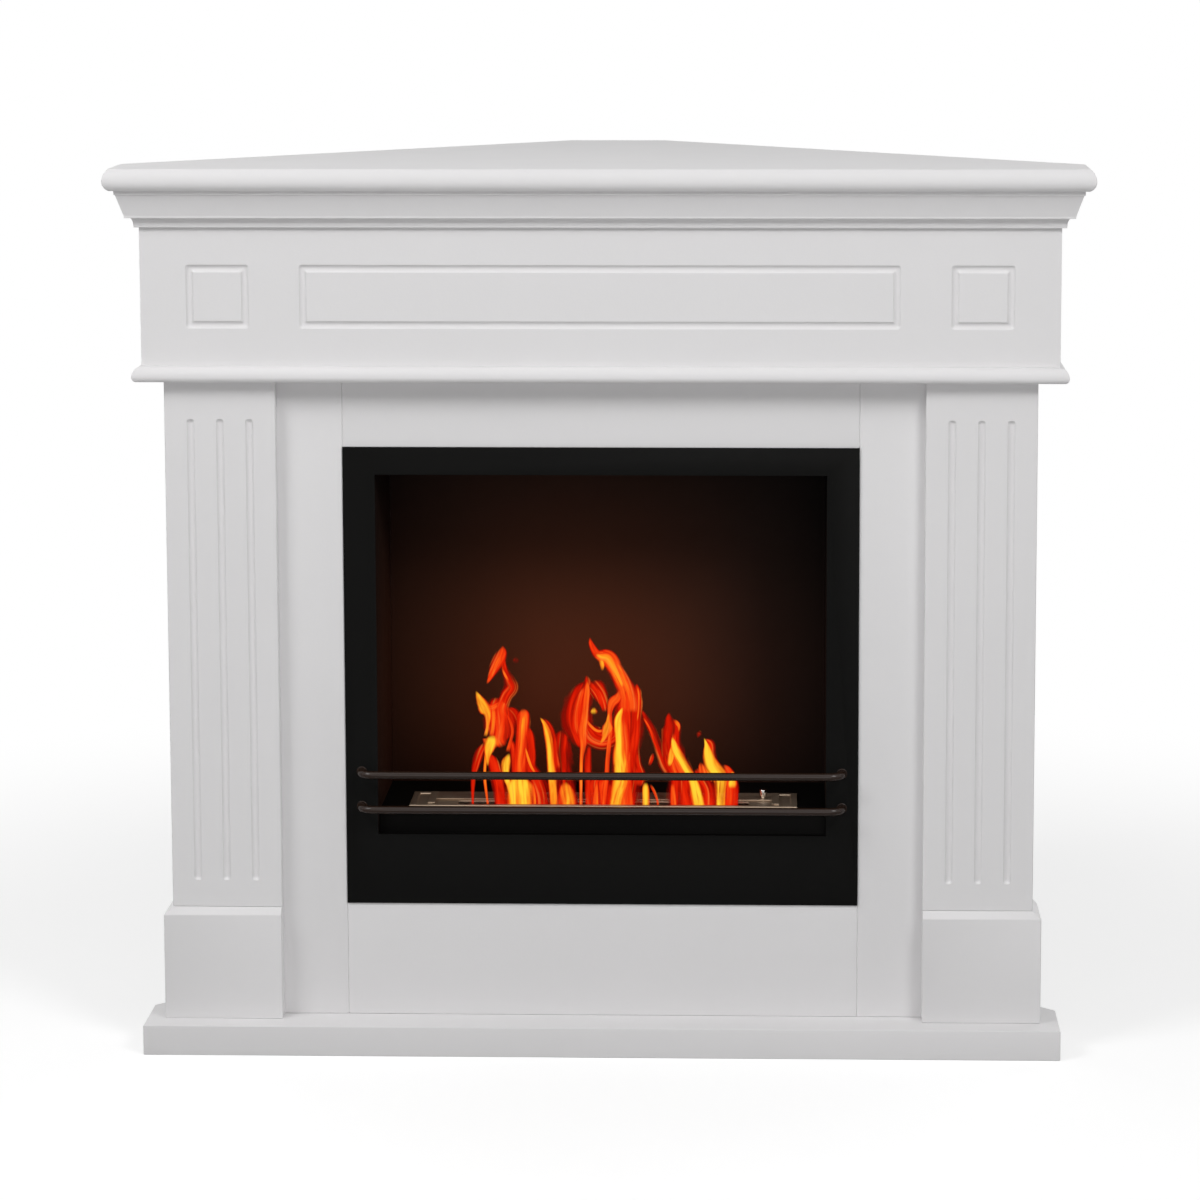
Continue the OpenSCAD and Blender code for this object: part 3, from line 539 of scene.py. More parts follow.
xLines = np.concatenate([grooveLines(edge, panels["width"]) for span in panelSpans for edge in span])
zLines = np.concatenate([grooveLines(panelLow, panels["width"]), grooveLines(panelHigh, panels["width"])])
mesh = boxBoard("routed_frieze_board", low, high, panels["ease"], xLines, zLines, panelDepth)
redraw("frieze_board", mesh, whiteLacquer)
print("frieze and pilasters cut")

# Shelf and ledge: boards that fill the corner, nosed along the front and the two short ends
cornerPlan = {"walls": 0.666, "flat": 0.061}
shelfEdge = {"nose": 0.011, "top": 0.007, "foot": 0.007, "ease": 0.0012, "steps": 12}
ledgeEdge = {"nose": 0.006, "top": 0.010, "foot": 0.004, "ease": 0.0008, "steps": 10}
shelfFront = corners("mantel_shelf")[0][1]
for node, edge in (("mantel_shelf", shelfEdge), ("ledge_board", ledgeEdge)):
    low, high = corners(node)
    half, front, back = high[0], low[1], high[1]
    wall = shelfFront + cornerPlan["walls"] - half
    outline = [(-half, front), (half, front), (half, wall), (cornerPlan["flat"], back),
               (-cornerPlan["flat"], back), (-half, wall)]
    thick = high[2] - low[2]
    # The nose is two arcs that are upright where they meet: at r*sin(t) from there they lie r*(1 - cos(t))
    # behind the nose
    inset, level = [], []
    for setback, rise, sign in ((edge["foot"], edge["nose"], -1), (edge["top"], thick - edge["nose"], 1)):
        r = (setback ** 2 + rise ** 2) / (2 * setback)
        t = np.linspace(0, np.arcsin(rise / r), edge["steps"])
        t = t[::-1] if sign < 0 else t[1:]
        inset.append(r * (1 - np.cos(t)))
        level.append(low[2] + edge["nose"] + sign * r * np.sin(t))
    inset, level = np.concatenate(inset), np.concatenate(level)
    nosed = np.array([1, 1, 0, 0, 0, 1.0])  # the front and the short ends, not the walls' sides
    rings = outlineRings(outline, level, inset[:, None] * nosed[None, :])
    redraw(node, buildMesh("nosed_" + node, ringParts(rings)), whiteLacquer, edge["ease"])

# Crown moulding: lip, cove, slope and fillet, as (distance in front of the frieze, height), in three lengths
crown = {"foot": 0.0055, "lip": 0.0025, "coveHeight": 0.009, "coveDepth": 0.003, "slopeFoot": 0.015,
         "proud": 0.025, "step": 0.0015, "fillet": 0.005, "soft": 0.0007, "coveSteps": 8, "softSteps": 4,
         "sharp": 28}
low, high = corners("crown_front")
height = high[2] - low[2]
coveRadius = (crown["coveDepth"] ** 2 + crown["coveHeight"] ** 2) / (2 * crown["coveDepth"])
t = np.linspace(0, np.arcsin(crown["coveHeight"] / coveRadius), crown["coveSteps"])
cove = np.stack([crown["foot"] + coveRadius * (1 - np.cos(t)), crown["lip"] + coveRadius * np.sin(t)], 1)
slopeBase = crown["lip"] + crown["coveHeight"]
fillet = height - crown["fillet"]
upper = [(crown["slopeFoot"], slopeBase), (crown["slopeFoot"], slopeBase + crown["lip"]),
         (crown["proud"] - crown["step"], fillet), (crown["proud"], fillet), (crown["proud"], height)]
edges = np.concatenate([[(crown["foot"], 0)], cove[:1], cove[-1:], upper])
steps = crown["softSteps"]
softEdges = softProfile(np.concatenate([[(0, 0)], edges, [(0, height)]]), crown["soft"], steps)
# The softened corners below and above the cove, with the cove between them and a plain back and top
section = np.concatenate([[(0, 0)], softEdges[steps:3 * steps], cove[1:-1], softEdges[3 * steps:8 * steps],
                          [(crown["proud"], height), (0, height)]])
friezeHalf = high[0] - crown["proud"]
friezeFront = low[1] + crown["proud"]
proud, level = section[:, 0], low[2] + section[:, 1]
wallLine = shelfFront + cornerPlan["walls"]
for side in (-1, 0, 1):
    if side == 0:
        node = "crown_front"
        ends = [(-friezeHalf - proud, friezeFront - proud), (friezeHalf + proud, friezeFront - proud)]
    else:
        node = "right_crown" if side > 0 else "left_crown"
        outer = friezeHalf + proud
        ends = [(side * outer, friezeFront - proud), (side * outer, wallLine - outer)]
    rings = np.stack([np.stack([x, y, level], -1) for x, y in ends])
    redraw(node, buildMesh("moulded_" + node, ringParts(rings)), whiteLacquer, sharp=crown["sharp"])
print("shelf, ledge and crown run")

# Bare boards and plated fixings behind the front
inner = {"ease": 0.0008, "sheetEase": 0.0004, "sheetShortest": 0.0015, "screwEase": 0.0003}
for node in ("lower_back_post", "upper_back_post", "support_posts"):
    easedCopy(node, uprightBoard, inner["ease"])
for node in ("joint_cleats", "support_board"):
    easedCopy(node, levelBoard, inner["ease"])
for node in ("wall_brackets", "clamp_brackets"):
    easedCopy(node, zincPlate, inner["sheetEase"], inner["sheetShortest"])
for node in ("rail_nuts", "wall_bracket_screws", "clamp_screws", "base_screws"):
    easedCopy(node, zincPlate, inner["screwEase"], 0.0)
print("inner boards and fixings made")

# Firebox sheets: the same coat, with a painted glow of the fire in brown on its inner side. The glow falls
# off with the distance r from its middle as exp(-r^2 / (2 spread^2)), with a slow cloud in r
paintedGlowLook = {"glowColour": (0.092, 0.027, 0.0110, 1), "middle": (-0.055, -0.09, 0.42), "weights": (1, 1.3, 1),
             "spread": 0.155, "cloud": 7.0, "cloudDepth": 0.015}
paintedGlowCoat, tree, shader, place, skin = sprayedFinish("painted_glow_coat", coatLook)
offset = vectorMath(tree, "SUBTRACT", place, paintedGlowLook["middle"])
away = vectorMath(tree, "LENGTH", vectorMath(tree, "MULTIPLY", offset, paintedGlowLook["weights"]), output="Value")
away = wander(tree, noiseNode(tree, place, paintedGlowLook["cloud"]), paintedGlowLook["cloudDepth"], away)
fall = mathNode(tree, "MULTIPLY", mathNode(tree, "MULTIPLY", away, away), -0.5 / paintedGlowLook["spread"] ** 2)
share = mathNode(tree, "EXPONENT", fall)
x, y, z = addNode(tree, "ShaderNodeSeparateXYZ", {"Vector": place}).outputs
sheetMiddles = ((mathNode(tree, "ABSOLUTE", x), sum(corners("firebox_right"))[0] / 2),
                (y, sum(corners("firebox_back"))[1] / 2), (z, sum(corners("firebox_top"))[2] / 2))
for distance, sheetMiddle in sheetMiddles:
    share = mathNode(tree, "MULTIPLY", share, mathNode(tree, "LESS_THAN", distance, sheetMiddle))
tree.links.new(mixColour(tree, share, skin.outputs["Colour"], paintedGlowLook["glowColour"]), shader.inputs["Base Color"])

# Insert
insert = {"frameEase": 0.0005, "sheetEase": 0.0004}
easedCopy("front_frame", blackCoat, insert["frameEase"])
# The floor and deck take the coat darkened as painted shade
for node in ("firebox_floor", "burner_deck"):
    easedCopy(node, paintedShadeCoat, insert["sheetEase"])
# The inner sides carry the fire's glow painted into their colour
for node in ("firebox_back", "firebox_left", "firebox_right", "firebox_top"):
    easedCopy(node, paintedGlowCoat, insert["sheetEase"])

# Guard rails: a round bar bent twice, turned down to a stud where it passes the frame
rail = {"radius": 0.00475, "stud": 0.004, "bend": 0.014, "bendSteps": 10, "straightSteps": 12,
        "shoulder": 0.0012, "turned": 0.0002, "shoulderShare": 0.92}
frameFront = corners("front_frame")[0][1]
for node in ("upper_guard_rail", "lower_guard_rail"):
    low, high = corners(node)
    reachX = high[0] - rail["radius"]
    railY, railZ = low[1] + rail["radius"], (low[2] + high[2]) / 2
    t = np.linspace(0, pi / 2, rail["bendSteps"])
    bendX = reachX - rail["bend"] * (1 - np.sin(t))
    bendY = railY + rail["bend"] * (1 - np.cos(t))
    straight = np.linspace(0, reachX - rail["bend"], rail["straightSteps"])[:-1]
    ends = [frameFront - rail["shoulder"], frameFront - rail["turned"], frameFront,
            frameFront + rail["turned"], high[1]]
    halfX = np.concatenate([straight, bendX, [reachX] * len(ends)])
    halfY = np.concatenate([railY + 0 * straight, bendY, ends])
    halfR = np.concatenate([np.full(len(halfX) - 3, rail["radius"]), np.full(3, rail["stud"])])
    halfR[-3] = rail["radius"] * rail["shoulderShare"]
    path = np.stack([np.concatenate([-halfX[:0:-1], halfX]), np.concatenate([halfY[:0:-1], halfY]),
                     np.full(2 * len(halfX) - 1, railZ)], -1)
    radii = np.concatenate([halfR[:0:-1], halfR])
    redraw(node, buildMesh("bent_" + node, tubeParts(path, radii)), railEnamel)

collar = {"radius": 0.00625, "bore": 0.0047, "soft": 0.0006}
low, high = corners("rail_collars")
parts = []
thick = high[1] - low[1]
ring = softProfile([(collar["bore"], 0), (collar["radius"], 0), (collar["radius"], thick),
                    (collar["bore"], thick)], collar["soft"])
turned = np.concatenate([ring, ring[:1]])
for node in ("upper_guard_rail", "lower_guard_rail"):
    railLow, railHigh = corners(node)
    for side in (-1, 1):
        middle = (side * (railHigh[0] - rail["radius"]), low[1], (railLow[2] + railHigh[2]) / 2)
        parts.append(lathe(middle, (0, 1, 0), turned)[0])  # a closed ring, so without end caps
redraw("rail_collars", buildMesh("turned_rail_collars", parts), railEnamel)
print("insert and rails made")

# Burner
burner = {"ease": 0.0004, "lidEase": 0.0003, "rimEase": 0.0012, "rimFrom": 0.0024, "shortest": 0.0008,
          "lidShortest": 0.001}
topLow = corners("burner_top")[0]
for node in ("burner_tray", "lid_guides"):
    easedCopy(node, brushedSteel, burner["ease"], burner["shortest"])
easedCopy("burner_top", brushedSteel, burner["rimEase"], burner["shortest"], topLow[2] + burner["rimFrom"],
          burner["ease"] / burner["rimEase"])
easedCopy("burner_lid", brushedSteel, burner["lidEase"], burner["lidShortest"])

# Knob: a waisted button, as (radius, height)
knob = {"neck": 0.0027, "radius": 0.0045, "neckHeight": 0.003, "soft": 0.0009, "softSteps": 6,
        "pole": 0.00005}
low, high = corners("lid_knob")
tall = high[2] - low[2]
shape = softProfile([(knob["pole"], 0), (knob["neck"], 0), (knob["neck"], knob["neckHeight"]),
                     (knob["radius"], knob["neckHeight"]), (knob["radius"], tall), (knob["pole"], tall)],
                    knob["soft"], knob["softSteps"])
turned = lathe(((low[0] + high[0]) / 2, (low[1] + high[1]) / 2, low[2]), (0, 0, 1), shape)
redraw("lid_knob", buildMesh("turned_lid_knob", turned), polishedSteel)

# Wool: a block whose top is sunk by the mean of three waves that cross, as packed fibre is:
# sin(a x + b sin(c y)), sin(d y + e sin(f x)) and sin(g x - h y)
wool = {"soft": 0.003, "sink": 0.0007, "edgeShare": 0.5, "columns": 180, "rows": 34,
        "waveX": (410, 3, 230), "waveY": (530, 2, 170), "waveSlant": (900, 700)}
low, high = corners("ceramic_wool")
u = np.linspace(0, 1, wool["columns"])[None, :]
v = np.linspace(0, 1, wool["rows"])[:, None]
x, y = low[0] + u * (high[0] - low[0]) + 0 * v, low[1] + v * (high[1] - low[1]) + 0 * u
edge = np.minimum(np.minimum(x - low[0], high[0] - x), np.minimum(y - low[1], high[1] - y))
fade = np.clip(edge / wool["soft"], 0, 1)
(a, b, c), (d, e, f), (g, h) = wool["waveX"], wool["waveY"], wool["waveSlant"]
waves = (np.sin(x * a + b * np.sin(y * c)) + np.sin(y * d + e * np.sin(x * f)) + np.sin(x * g - y * h)) / 3
rounded = wool["soft"] * (1 - np.sqrt(1 - (1 - fade) ** 2)) * wool["edgeShare"]
top = high[2] - wool["sink"] * (1 - waves) * fade - rounded
upper = np.stack([x, y, top], -1)
rim = np.concatenate([upper[0, :-1], upper[:-1, -1], upper[-1, :0:-1], upper[:0:-1, 0]])
floorRim = rim * [1, 1, 0] + [0, 0, low[2]]
parts = [(upper, gridFaces(*x.shape)), (np.stack([rim, floorRim]), gridFaces(2, len(rim), True)),
         (floorRim, np.arange(len(rim))[None, :])]
redraw("ceramic_wool", buildMesh("packed_ceramic_wool", parts), ceramicWool)
print("burner made")

# Flames: tongues of fire that rise out of the slot, each (heat, solidity, depth, points from tip to foot),
# its points (x, z, half width), all in millimetres, with the depth counted from the slot's middle line.
tongues = [
    (0.42, 0.9, 0, [(-120, 469, 0.5), (-121, 460, 4.5), (-126, 449, 6.3), (-132, 437, 4.2),
        (-140, 421, 0.5)]),
    (0.68, 0.8, -2, [(-122, 459, 0.7), (-126, 448, 2.8), (-131, 438, 1.7), (-135, 429, 0.5)]),
    (0.22, 0.9, 1, [(-120, 455, 1.7), (-118, 439, 3.5), (-113, 426, 5.2), (-110, 417, 7), (-116, 408, 6.3),
        (-120, 399, 5.9), (-123, 389, 7)]),
    (0.6, 0.7, -3, [(-121, 441, 0.7), (-117, 432, 1.4), (-113, 425, 1)]),
    (0.34, 0.85, 1, [(-120, 405, 2.4), (-125, 394, 11.5), (-124, 380, 16), (-123, 366, 14.7),
        (-124, 354, 9.1), (-120, 344, 3.5)]),
    (0.5, 0.7, -2, [(-132, 394, 1.7), (-132, 380, 2.8), (-133, 366, 2.4), (-135, 356, 2.1)]),
    (0.48, 0.6, -2, [(-122, 389, 1.4), (-121, 377, 2.4), (-124, 363, 2.1)]),
    (0.86, 1, -3, [(-153, 414, 0.5), (-149, 405, 3.3), (-143, 393, 5.9), (-139, 385, 3.8), (-139, 371, 1.7),
        (-142, 357, 1.9)]),
    (0.5, 0.9, -1, [(-141, 392, 4.5), (-133, 393, 3.8), (-123, 399, 2.1)]),
    (0.88, 1, -3, [(-134, 360, 2.4), (-134, 353, 8), (-137, 344, 5.2), (-139, 333, 2.3), (-139, 321, 1)]),
    (0.6, 0.8, -2, [(-140, 344, 1.7), (-142, 328, 1.4), (-143, 310, 1.4), (-142, 295, 1.4),
        (-139, 271, 1.2), (-139, 265, 1)]),
    (0.12, 0.75, 3, [(-143, 349, 1.4), (-149, 337, 4.5), (-154, 321, 3.8), (-157, 307, 2.4),
        (-158, 286, 1.6), (-158, 265, 1.2)]),
    (0.2, 0.95, 0, [(-137, 337, 1.4), (-133, 326, 5.2), (-129, 310, 6.3), (-125, 291, 6.6),
        (-121, 265, 7.3)]),
    (0.5, 0.85, -2, [(-117, 387, 0.7), (-111, 375, 1.7), (-109, 363, 1.7), (-112, 350, 1.7),
        (-115, 338, 2.4)]),
    (0.93, 1, -4, [(-113, 338, 0.9), (-117, 326, 4.7), (-117, 310, 3.5), (-113, 296, 2.4), (-107, 271, 2.1),
        (-106, 265, 2.1)]),
    (0.26, 0.8, 1, [(-110, 354, 1.4), (-108, 338, 3.5), (-107, 309, 3.1), (-107, 291, 2.8)]),
    (0.45, 0.95, 0, [(-97, 392, 1.4), (-96, 384, 5.9), (-97, 366, 6.3), (-98, 349, 6.3), (-99, 330, 7),
        (-101, 307, 7.7), (-101, 286, 12.2), (-100, 265, 13.3)]),
    (0.66, 0.85, -3, [(-95, 385, 1.4), (-96, 370, 2.8), (-97, 352, 2.4), (-100, 331, 2.8),
        (-101, 310, 3.5)]),
    (0.95, 1, -5, [(-101, 314, 1.7), (-101, 300, 11.5), (-100, 286, 12.6), (-99, 265, 11.5)]),
    (0.18, 0.9, 2, [(-114, 393, 1.4), (-106, 385, 4.5), (-102, 373, 3.1), (-102, 359, 1.4)]),
    (0.22, 0.85, 2, [(-91, 370, 1.4), (-88, 356, 4.2), (-87, 338, 4.5), (-88, 321, 5.9), (-82, 307, 7),
        (-75, 286, 8.4), (-74, 265, 9.1)]),
    (0.62, 0.8, -2, [(-94, 345, 0.7), (-91, 333, 1.6), (-87, 321, 1.6), (-81, 311, 0.9)]),
    (0.55, 0.8, -3, [(-85, 302, 0.9), (-83, 286, 1.6), (-83, 265, 1.6)]),
    (0.8, 1, -3, [(-76, 382, 0.3), (-70, 373, 2.4), (-66, 359, 3.8), (-64, 344, 3.8), (-63, 326, 3.5),
        (-61, 309, 4.5), (-60, 286, 3.8), (-60, 265, 2.8)]),
    (0.3, 0.8, 1, [(-72, 380, 0.7), (-66, 371, 3.1), (-61, 356, 3.5), (-59, 338, 3.5), (-56, 317, 4.5)]),
    (0.15, 0.95, 3, [(-50, 366, 0.7), (-51, 356, 7), (-52, 338, 10.5), (-50, 321, 10.5), (-48, 303, 10.1),
        (-45, 282, 10.5), (-44, 265, 10.5)]),
    (0.74, 0.9, -2, [(-47, 303, 2.4), (-45, 291, 7), (-43, 279, 8), (-43, 265, 8)]),
    (0.6, 0.9, -3, [(-19, 427, 0.7), (-19, 415, 2.8), (-21, 394, 3.5), (-22, 380, 4.5), (-24, 364, 5.2),
        (-24, 349, 3.5), (-26, 331, 1.9), (-27, 309, 1.7), (-27, 286, 1.7), (-27, 265, 1.7)]),
    (0.18, 1, 2, [(-20, 433, 0.5), (-19, 422, 4.9), (-25, 410, 10.5), (-31, 394, 12.9), (-33, 378, 14),
        (-29, 364, 12.9), (-25, 352, 9.1), (-21, 344, 3.8)]),
    (0.36, 0.85, 0, [(-21, 419, 1.7), (-25, 405, 5.6), (-29, 389, 6.6), (-30, 373, 7), (-27, 359, 6.3)]),
    (0.2, 1, 1, [(-16, 425, 1.7), (-10, 419, 7.7), (-4, 410, 7), (0, 398, 4.2), (2, 387, 2.1)]),
    (0.82, 1, -4, [(-11, 395, 0.9), (-11, 389, 3.5), (-11, 385, 2.1)]),
    (0.2, 1, 1, [(-21, 371, 5.2), (-14, 359, 10.5), (-5, 354, 9.8), (3, 354, 9.4), (12, 359, 8),
        (16, 370, 3.8)]),
    (0.5, 0.8, -2, [(-21, 380, 1), (-15, 371, 1.7), (-7, 365, 1.7), (3, 366, 1.4)]),
    (0.16, 0.7, 3, [(-18, 347, 2.4), (-19, 331, 3.5), (-19, 310, 3.5), (-19, 286, 3.1), (-18, 265, 3.1)]),
    (0.34, 0.9, 2, [(2, 314, 1.7), (-4, 300, 12.2), (-3, 286, 15), (-2, 265, 15.3)]),
    (0.62, 0.8, -2, [(-8, 302, 0.9), (-9, 286, 2.8), (-10, 265, 4.2)]),
    (0.84, 1, -4, [(7, 389, 0.7), (6, 378, 2.1), (5, 369, 4.9), (1, 357, 2.4), (-4, 349, 1)]),
    (0.52, 0.9, -2, [(20, 415, 0.7), (17, 406, 4.2), (11, 399, 4.5), (8, 387, 2.4), (9, 370, 2.1),
        (8, 356, 2.4), (6, 338, 2.3), (4, 309, 2.4), (1, 282, 2.4), (0, 265, 2.4)]),
    (0.4, 0.95, -1, [(-16, 480, 0.3), (-14, 471, 2.4), (-9, 461, 3.8), (-4, 456, 5.2)]),
    (0.52, 1, 0, [(-11, 460, 2.1), (-2, 456, 6.3), (7, 453, 7.7), (15, 441, 7.3), (22, 428, 7.7),
        (27, 415, 9.1), (30, 401, 10.8), (30, 387, 12.9)]),
    (0.84, 1, -4, [(-9, 459, 1), (-2, 456, 3.5), (6, 454, 4.5), (13, 443, 3.5), (19, 431, 2.1),
        (24, 419, 1.7)]),
    (0.86, 1, -4, [(-3, 454, 2.4), (-1, 446, 2.4), (-1, 438, 0.9)]),
    (0.24, 1, 1, [(32, 418, 0.7), (31, 405, 7), (30, 387, 13.3), (30, 370, 14.7), (28, 352, 13.6),
        (26, 335, 11.9), (26, 317, 11.5), (25, 300, 14.7), (22, 282, 17.4), (21, 265, 18.1)]),
    (0.46, 0.9, -2, [(25, 398, 1.7), (23, 384, 5.9), (23, 366, 6.6), (25, 349, 7), (25, 331, 7),
        (26, 310, 7), (28, 286, 7.7), (28, 265, 7.7)]),
    (0.2, 1, 2, [(40, 423, 0.7), (41, 412, 3.5), (42, 398, 3.8), (41, 380, 3.5), (40, 363, 3.5),
        (38, 342, 3.8), (39, 324, 5.2), (43, 310, 6.6), (41, 296, 5.2)]),
    (0.6, 0.75, -3, [(41, 420, 0.7), (43, 410, 1.2), (43, 394, 1), (41, 377, 0.7)]),
    (0.95, 1, -5, [(24, 395, 0.9), (19, 382, 3.5), (19, 368, 4.5), (20, 352, 4.5), (20, 338, 5.9),
        (21, 324, 6.6), (21, 307, 7), (17, 289, 6.3), (13, 265, 5.9)]),
    (0.55, 0.8, -3, [(32, 342, 0.9), (31, 324, 1.6), (31, 307, 1.7), (33, 286, 1.7), (34, 265, 1.6)]),
    (0.16, 0.9, 2, [(46, 391, 1), (52, 378, 3.1), (59, 365, 3.8), (64, 352, 4.2), (68, 338, 4.2),
        (73, 324, 5.2), (80, 312, 4.5)]),
    (0.42, 0.8, -1, [(48, 382, 0.7), (56, 368, 1.4), (61, 354, 1.6), (66, 340, 1.2)]),
    (0.12, 0.7, 3, [(60, 338, 0.9), (58, 330, 2.4), (55, 321, 1.4)]),
    (0.96, 1, -3, [(51, 303, 1.7), (51, 295, 3.1), (51, 279, 3.5), (51, 265, 3.1)]),
    (0.45, 0.7, -1, [(56, 300, 0.9), (61, 291, 1.4), (65, 279, 1.2), (66, 265, 1)]),
    (0.2, 1, 2, [(79, 388, 0.7), (79, 378, 4.5), (82, 369, 8.4), (82, 356, 8.7), (83, 342, 10.1),
        (86, 326, 12.2), (93, 310, 11.5), (94, 291, 12.6), (95, 265, 14)]),
    (0.22, 0.9, 1, [(77, 378, 1), (76, 364, 3.8), (74, 347, 3.1), (75, 331, 4.2)]),
    (0.66, 0.8, -3, [(85, 380, 0.9), (89, 375, 2.1), (91, 371, 1.4), (91, 364, 0.7)]),
    (0.5, 0.9, -1, [(85, 363, 1.4), (85, 347, 3.8), (85, 331, 7), (89, 317, 7.7), (94, 307, 5.2)]),
    (0.95, 1, -4, [(83, 359, 0.9), (87, 344, 4.2), (94, 330, 4.7), (101, 317, 4.4), (107, 307, 4.4),
        (112, 289, 5.6), (117, 265, 5.6)]),
    (0.85, 1, -4, [(84, 349, 1.4), (82, 337, 3), (80, 327, 2.6), (79, 322, 0.9)]),
    (0.5, 0.8, -2, [(83, 302, 1.7), (84, 286, 3), (85, 265, 2.8)]),
    (0.1, 0.75, 0, [(111, 362, 1), (115, 361, 3.5), (118, 359, 1)]),
    (0.02, 0.45, 0, [(-105, 456, 1), (-105, 450, 3.1), (-107, 446, 1)]),
    (0.94, 1, -3, [(121, 358, 0.3), (124, 349, 2.1), (126, 337, 4.9), (130, 324, 7), (137, 314, 9.1),
        (141, 307, 7), (141, 291, 5.2), (141, 265, 4.9)]),
    (0.3, 0.9, 1, [(121, 355, 0.9), (129, 350, 3.8), (131, 338, 3.8), (134, 328, 3.1), (139, 319, 2.8)]),
    (0.58, 0.95, -2, [(117, 328, 0.7), (118, 322, 2.8), (121, 312, 4.5), (125, 305, 3.5)]),
    (0.2, 0.9, 2, [(111, 319, 1.7), (114, 314, 4.5), (117, 307, 5.9), (125, 291, 8), (125, 265, 8.7)]),
    (0.28, 0.95, 1, [(144, 324, 0.7), (149, 319, 3.1), (153, 310, 5.6), (154, 291, 7), (153, 265, 7)]),
    (0.9, 1, -3, [(154, 317, 0.7), (156, 312, 2.4), (155, 302, 4.5), (155, 295, 3.5)]),
]
flames = {"wider": 1.5, "thinnest": 0.0003, "thick": 0.2, "thickest": 0.003, "steps": 7, "around": 16,
          "slotBehindRim": 0.021, "root": 0.003, "lift": 0.009, "fade": 0.008, "apart": 0.9, "keep": 0.02,
          "streaks": (150, 15, 1), "licks": (120, 40, 2), "threads": (300, 8, 3), "strength": 1.1,
          "sharp": 60}
slotY = topLow[1] + flames["slotBehindRim"]
flameRoot = corners("ceramic_wool")[1][2] + flames["root"]


def smoothLine(points, steps):
    # A cubic through every point, whose slope at a point is half the way between its two neighbours:
    # ((2 p1) + (p2 - p0) f + (2 p0 - 5 p1 + 4 p2 - p3) f^2 + (3 p1 - p0 - 3 p2 + p3) f^3) / 2
    points = np.array(points, float)
    padded = np.concatenate([2 * points[:1] - points[1:2], points, 2 * points[-1:] - points[-2:-1]])
    place = np.linspace(0, len(points) - 1, (len(points) - 1) * steps + 1)
    k = np.minimum(place.astype(int), len(points) - 2)
    f = (place - k)[:, None]
    p0, p1, p2, p3 = padded[k], padded[k + 1], padded[k + 2], padded[k + 3]
    return (2 * p1 + (p2 - p0) * f + (2 * p0 - 5 * p1 + 4 * p2 - p3) * f ** 2
            + (3 * p1 - p0 - 3 * p2 + p3) * f ** 3) / 2


def tongueParts(index, heat, solid, depth, points):
    # A flat oval carried along the tongue's line: at an angle t its point lies width*cos(t) across the line
    # and thickness*sin(t) away from the room. For the finish it keeps cos(t), how far the nearer free end is
    # (0 to 1) and the heat as "fire", and the distances across and along in metres and the solidity as "flow"
    line = smoothLine(points, flames["steps"]) / 1000
    x, z, width = line[:, 0], line[:, 1], np.maximum(line[:, 2], flames["thinnest"]) * flames["wider"]
    z = np.maximum(z + flames["lift"], flameRoot)
    run = np.gradient(np.stack([x, z], 1), axis=0)
    run /= np.maximum(np.linalg.norm(run, axis=1), 1e-6)[:, None]
    thick = np.minimum(width * flames["thick"], flames["thickest"])
    t = np.linspace(0, 2 * pi, flames["around"], endpoint=False)[None, :]
    across = np.cos(t) + 0 * x[:, None]
    rings = np.stack([x[:, None] + run[:, 1:] * width[:, None] * across,
                      slotY + depth / 1000 + thick[:, None] * np.sin(t),
                      np.maximum(z[:, None] - run[:, :1] * width[:, None] * across, flameRoot)], -1)
    length = np.concatenate([[0], np.cumsum(np.hypot(np.diff(x), np.diff(z)))])[:, None] + 0 * across
    left = length[-1] - length if z[-1] > flameRoot else 1.0
    fire = np.stack([across, np.clip(np.minimum(length, left) / flames["fade"], 0, 1), heat + 0 * across], -1)
    flow = np.stack([across * width[:, None], length + index * flames["apart"], solid + 0 * across], -1)
    return rings, fire, flow


flameLook = {"stops": [(0.0, (0.26, 0.003, 0.001)), (0.16, (0.58, 0.008, 0.001)),
                       (0.36, (0.80, 0.024, 0.003)), (0.56, (0.90, 0.095, 0.008)),
                       (0.78, (0.93, 0.27, 0.012)), (1.0, (0.95, 0.60, 0.035))],
             "streakHeat": 0.425, "rimCool": 0.95, "ragged": 0.6, "rim": (0.02, 0.90),
             "wisp": (0.25, 0.6), "wispShare": 0.35,
             "thread": (1.0, 0.25, 0.04, 1), "threadFrom": 0.58, "threadTo": 0.74, "threadShare": 0.45}
fireFinish, tree, shader = newFinish("fire")[:3]


def keptVector(name):
    vector = addNode(tree, "ShaderNodeAttribute", attribute_name=name).outputs["Vector"]
    return vector, addNode(tree, "ShaderNodeSeparateXYZ", {"Vector": vector}).outputs


across, end, heat = keptVector("fire")[1]
flow, flowParts = keptVector("flow")
streak = noiseNode(tree, stretched(tree, flow, flames["streaks"]), 1.0, detail=2, warp=0.7)
square = mathNode(tree, "MULTIPLY", across, across)
warmth = wander(tree, streak, flameLook["streakHeat"], heat)
edgeOnly = mathNode(tree, "MULTIPLY", square, square)
warmth = mathNode(tree, "MULTIPLY_ADD", edgeOnly, -flameLook["rimCool"], warmth)
ramp = tree.nodes.new("ShaderNodeValToRGB")
tree.links.new(warmth, ramp.inputs["Fac"])
while len(ramp.color_ramp.elements) < len(flameLook["stops"]):
    ramp.color_ramp.elements.new(0.5)
for element, (spot, colour) in zip(ramp.color_ramp.elements, flameLook["stops"]):
    element.position = spot
    element.color = (*colour, 1)
lick = noiseNode(tree, stretched(tree, flow, flames["licks"]), 1.0, rough=0.6, warp=0.5)
inward = wander(tree, lick, flameLook["ragged"], mathNode(tree, "SUBTRACT", 1.0, square))
rim = rangeNode(tree, inward, *flameLook["rim"], 0, 1)
tip = rangeNode(tree, end, 0, 1, 0, 1)
wisps = rangeNode(tree, streak, *flameLook["wisp"], flameLook["wispShare"], 1)
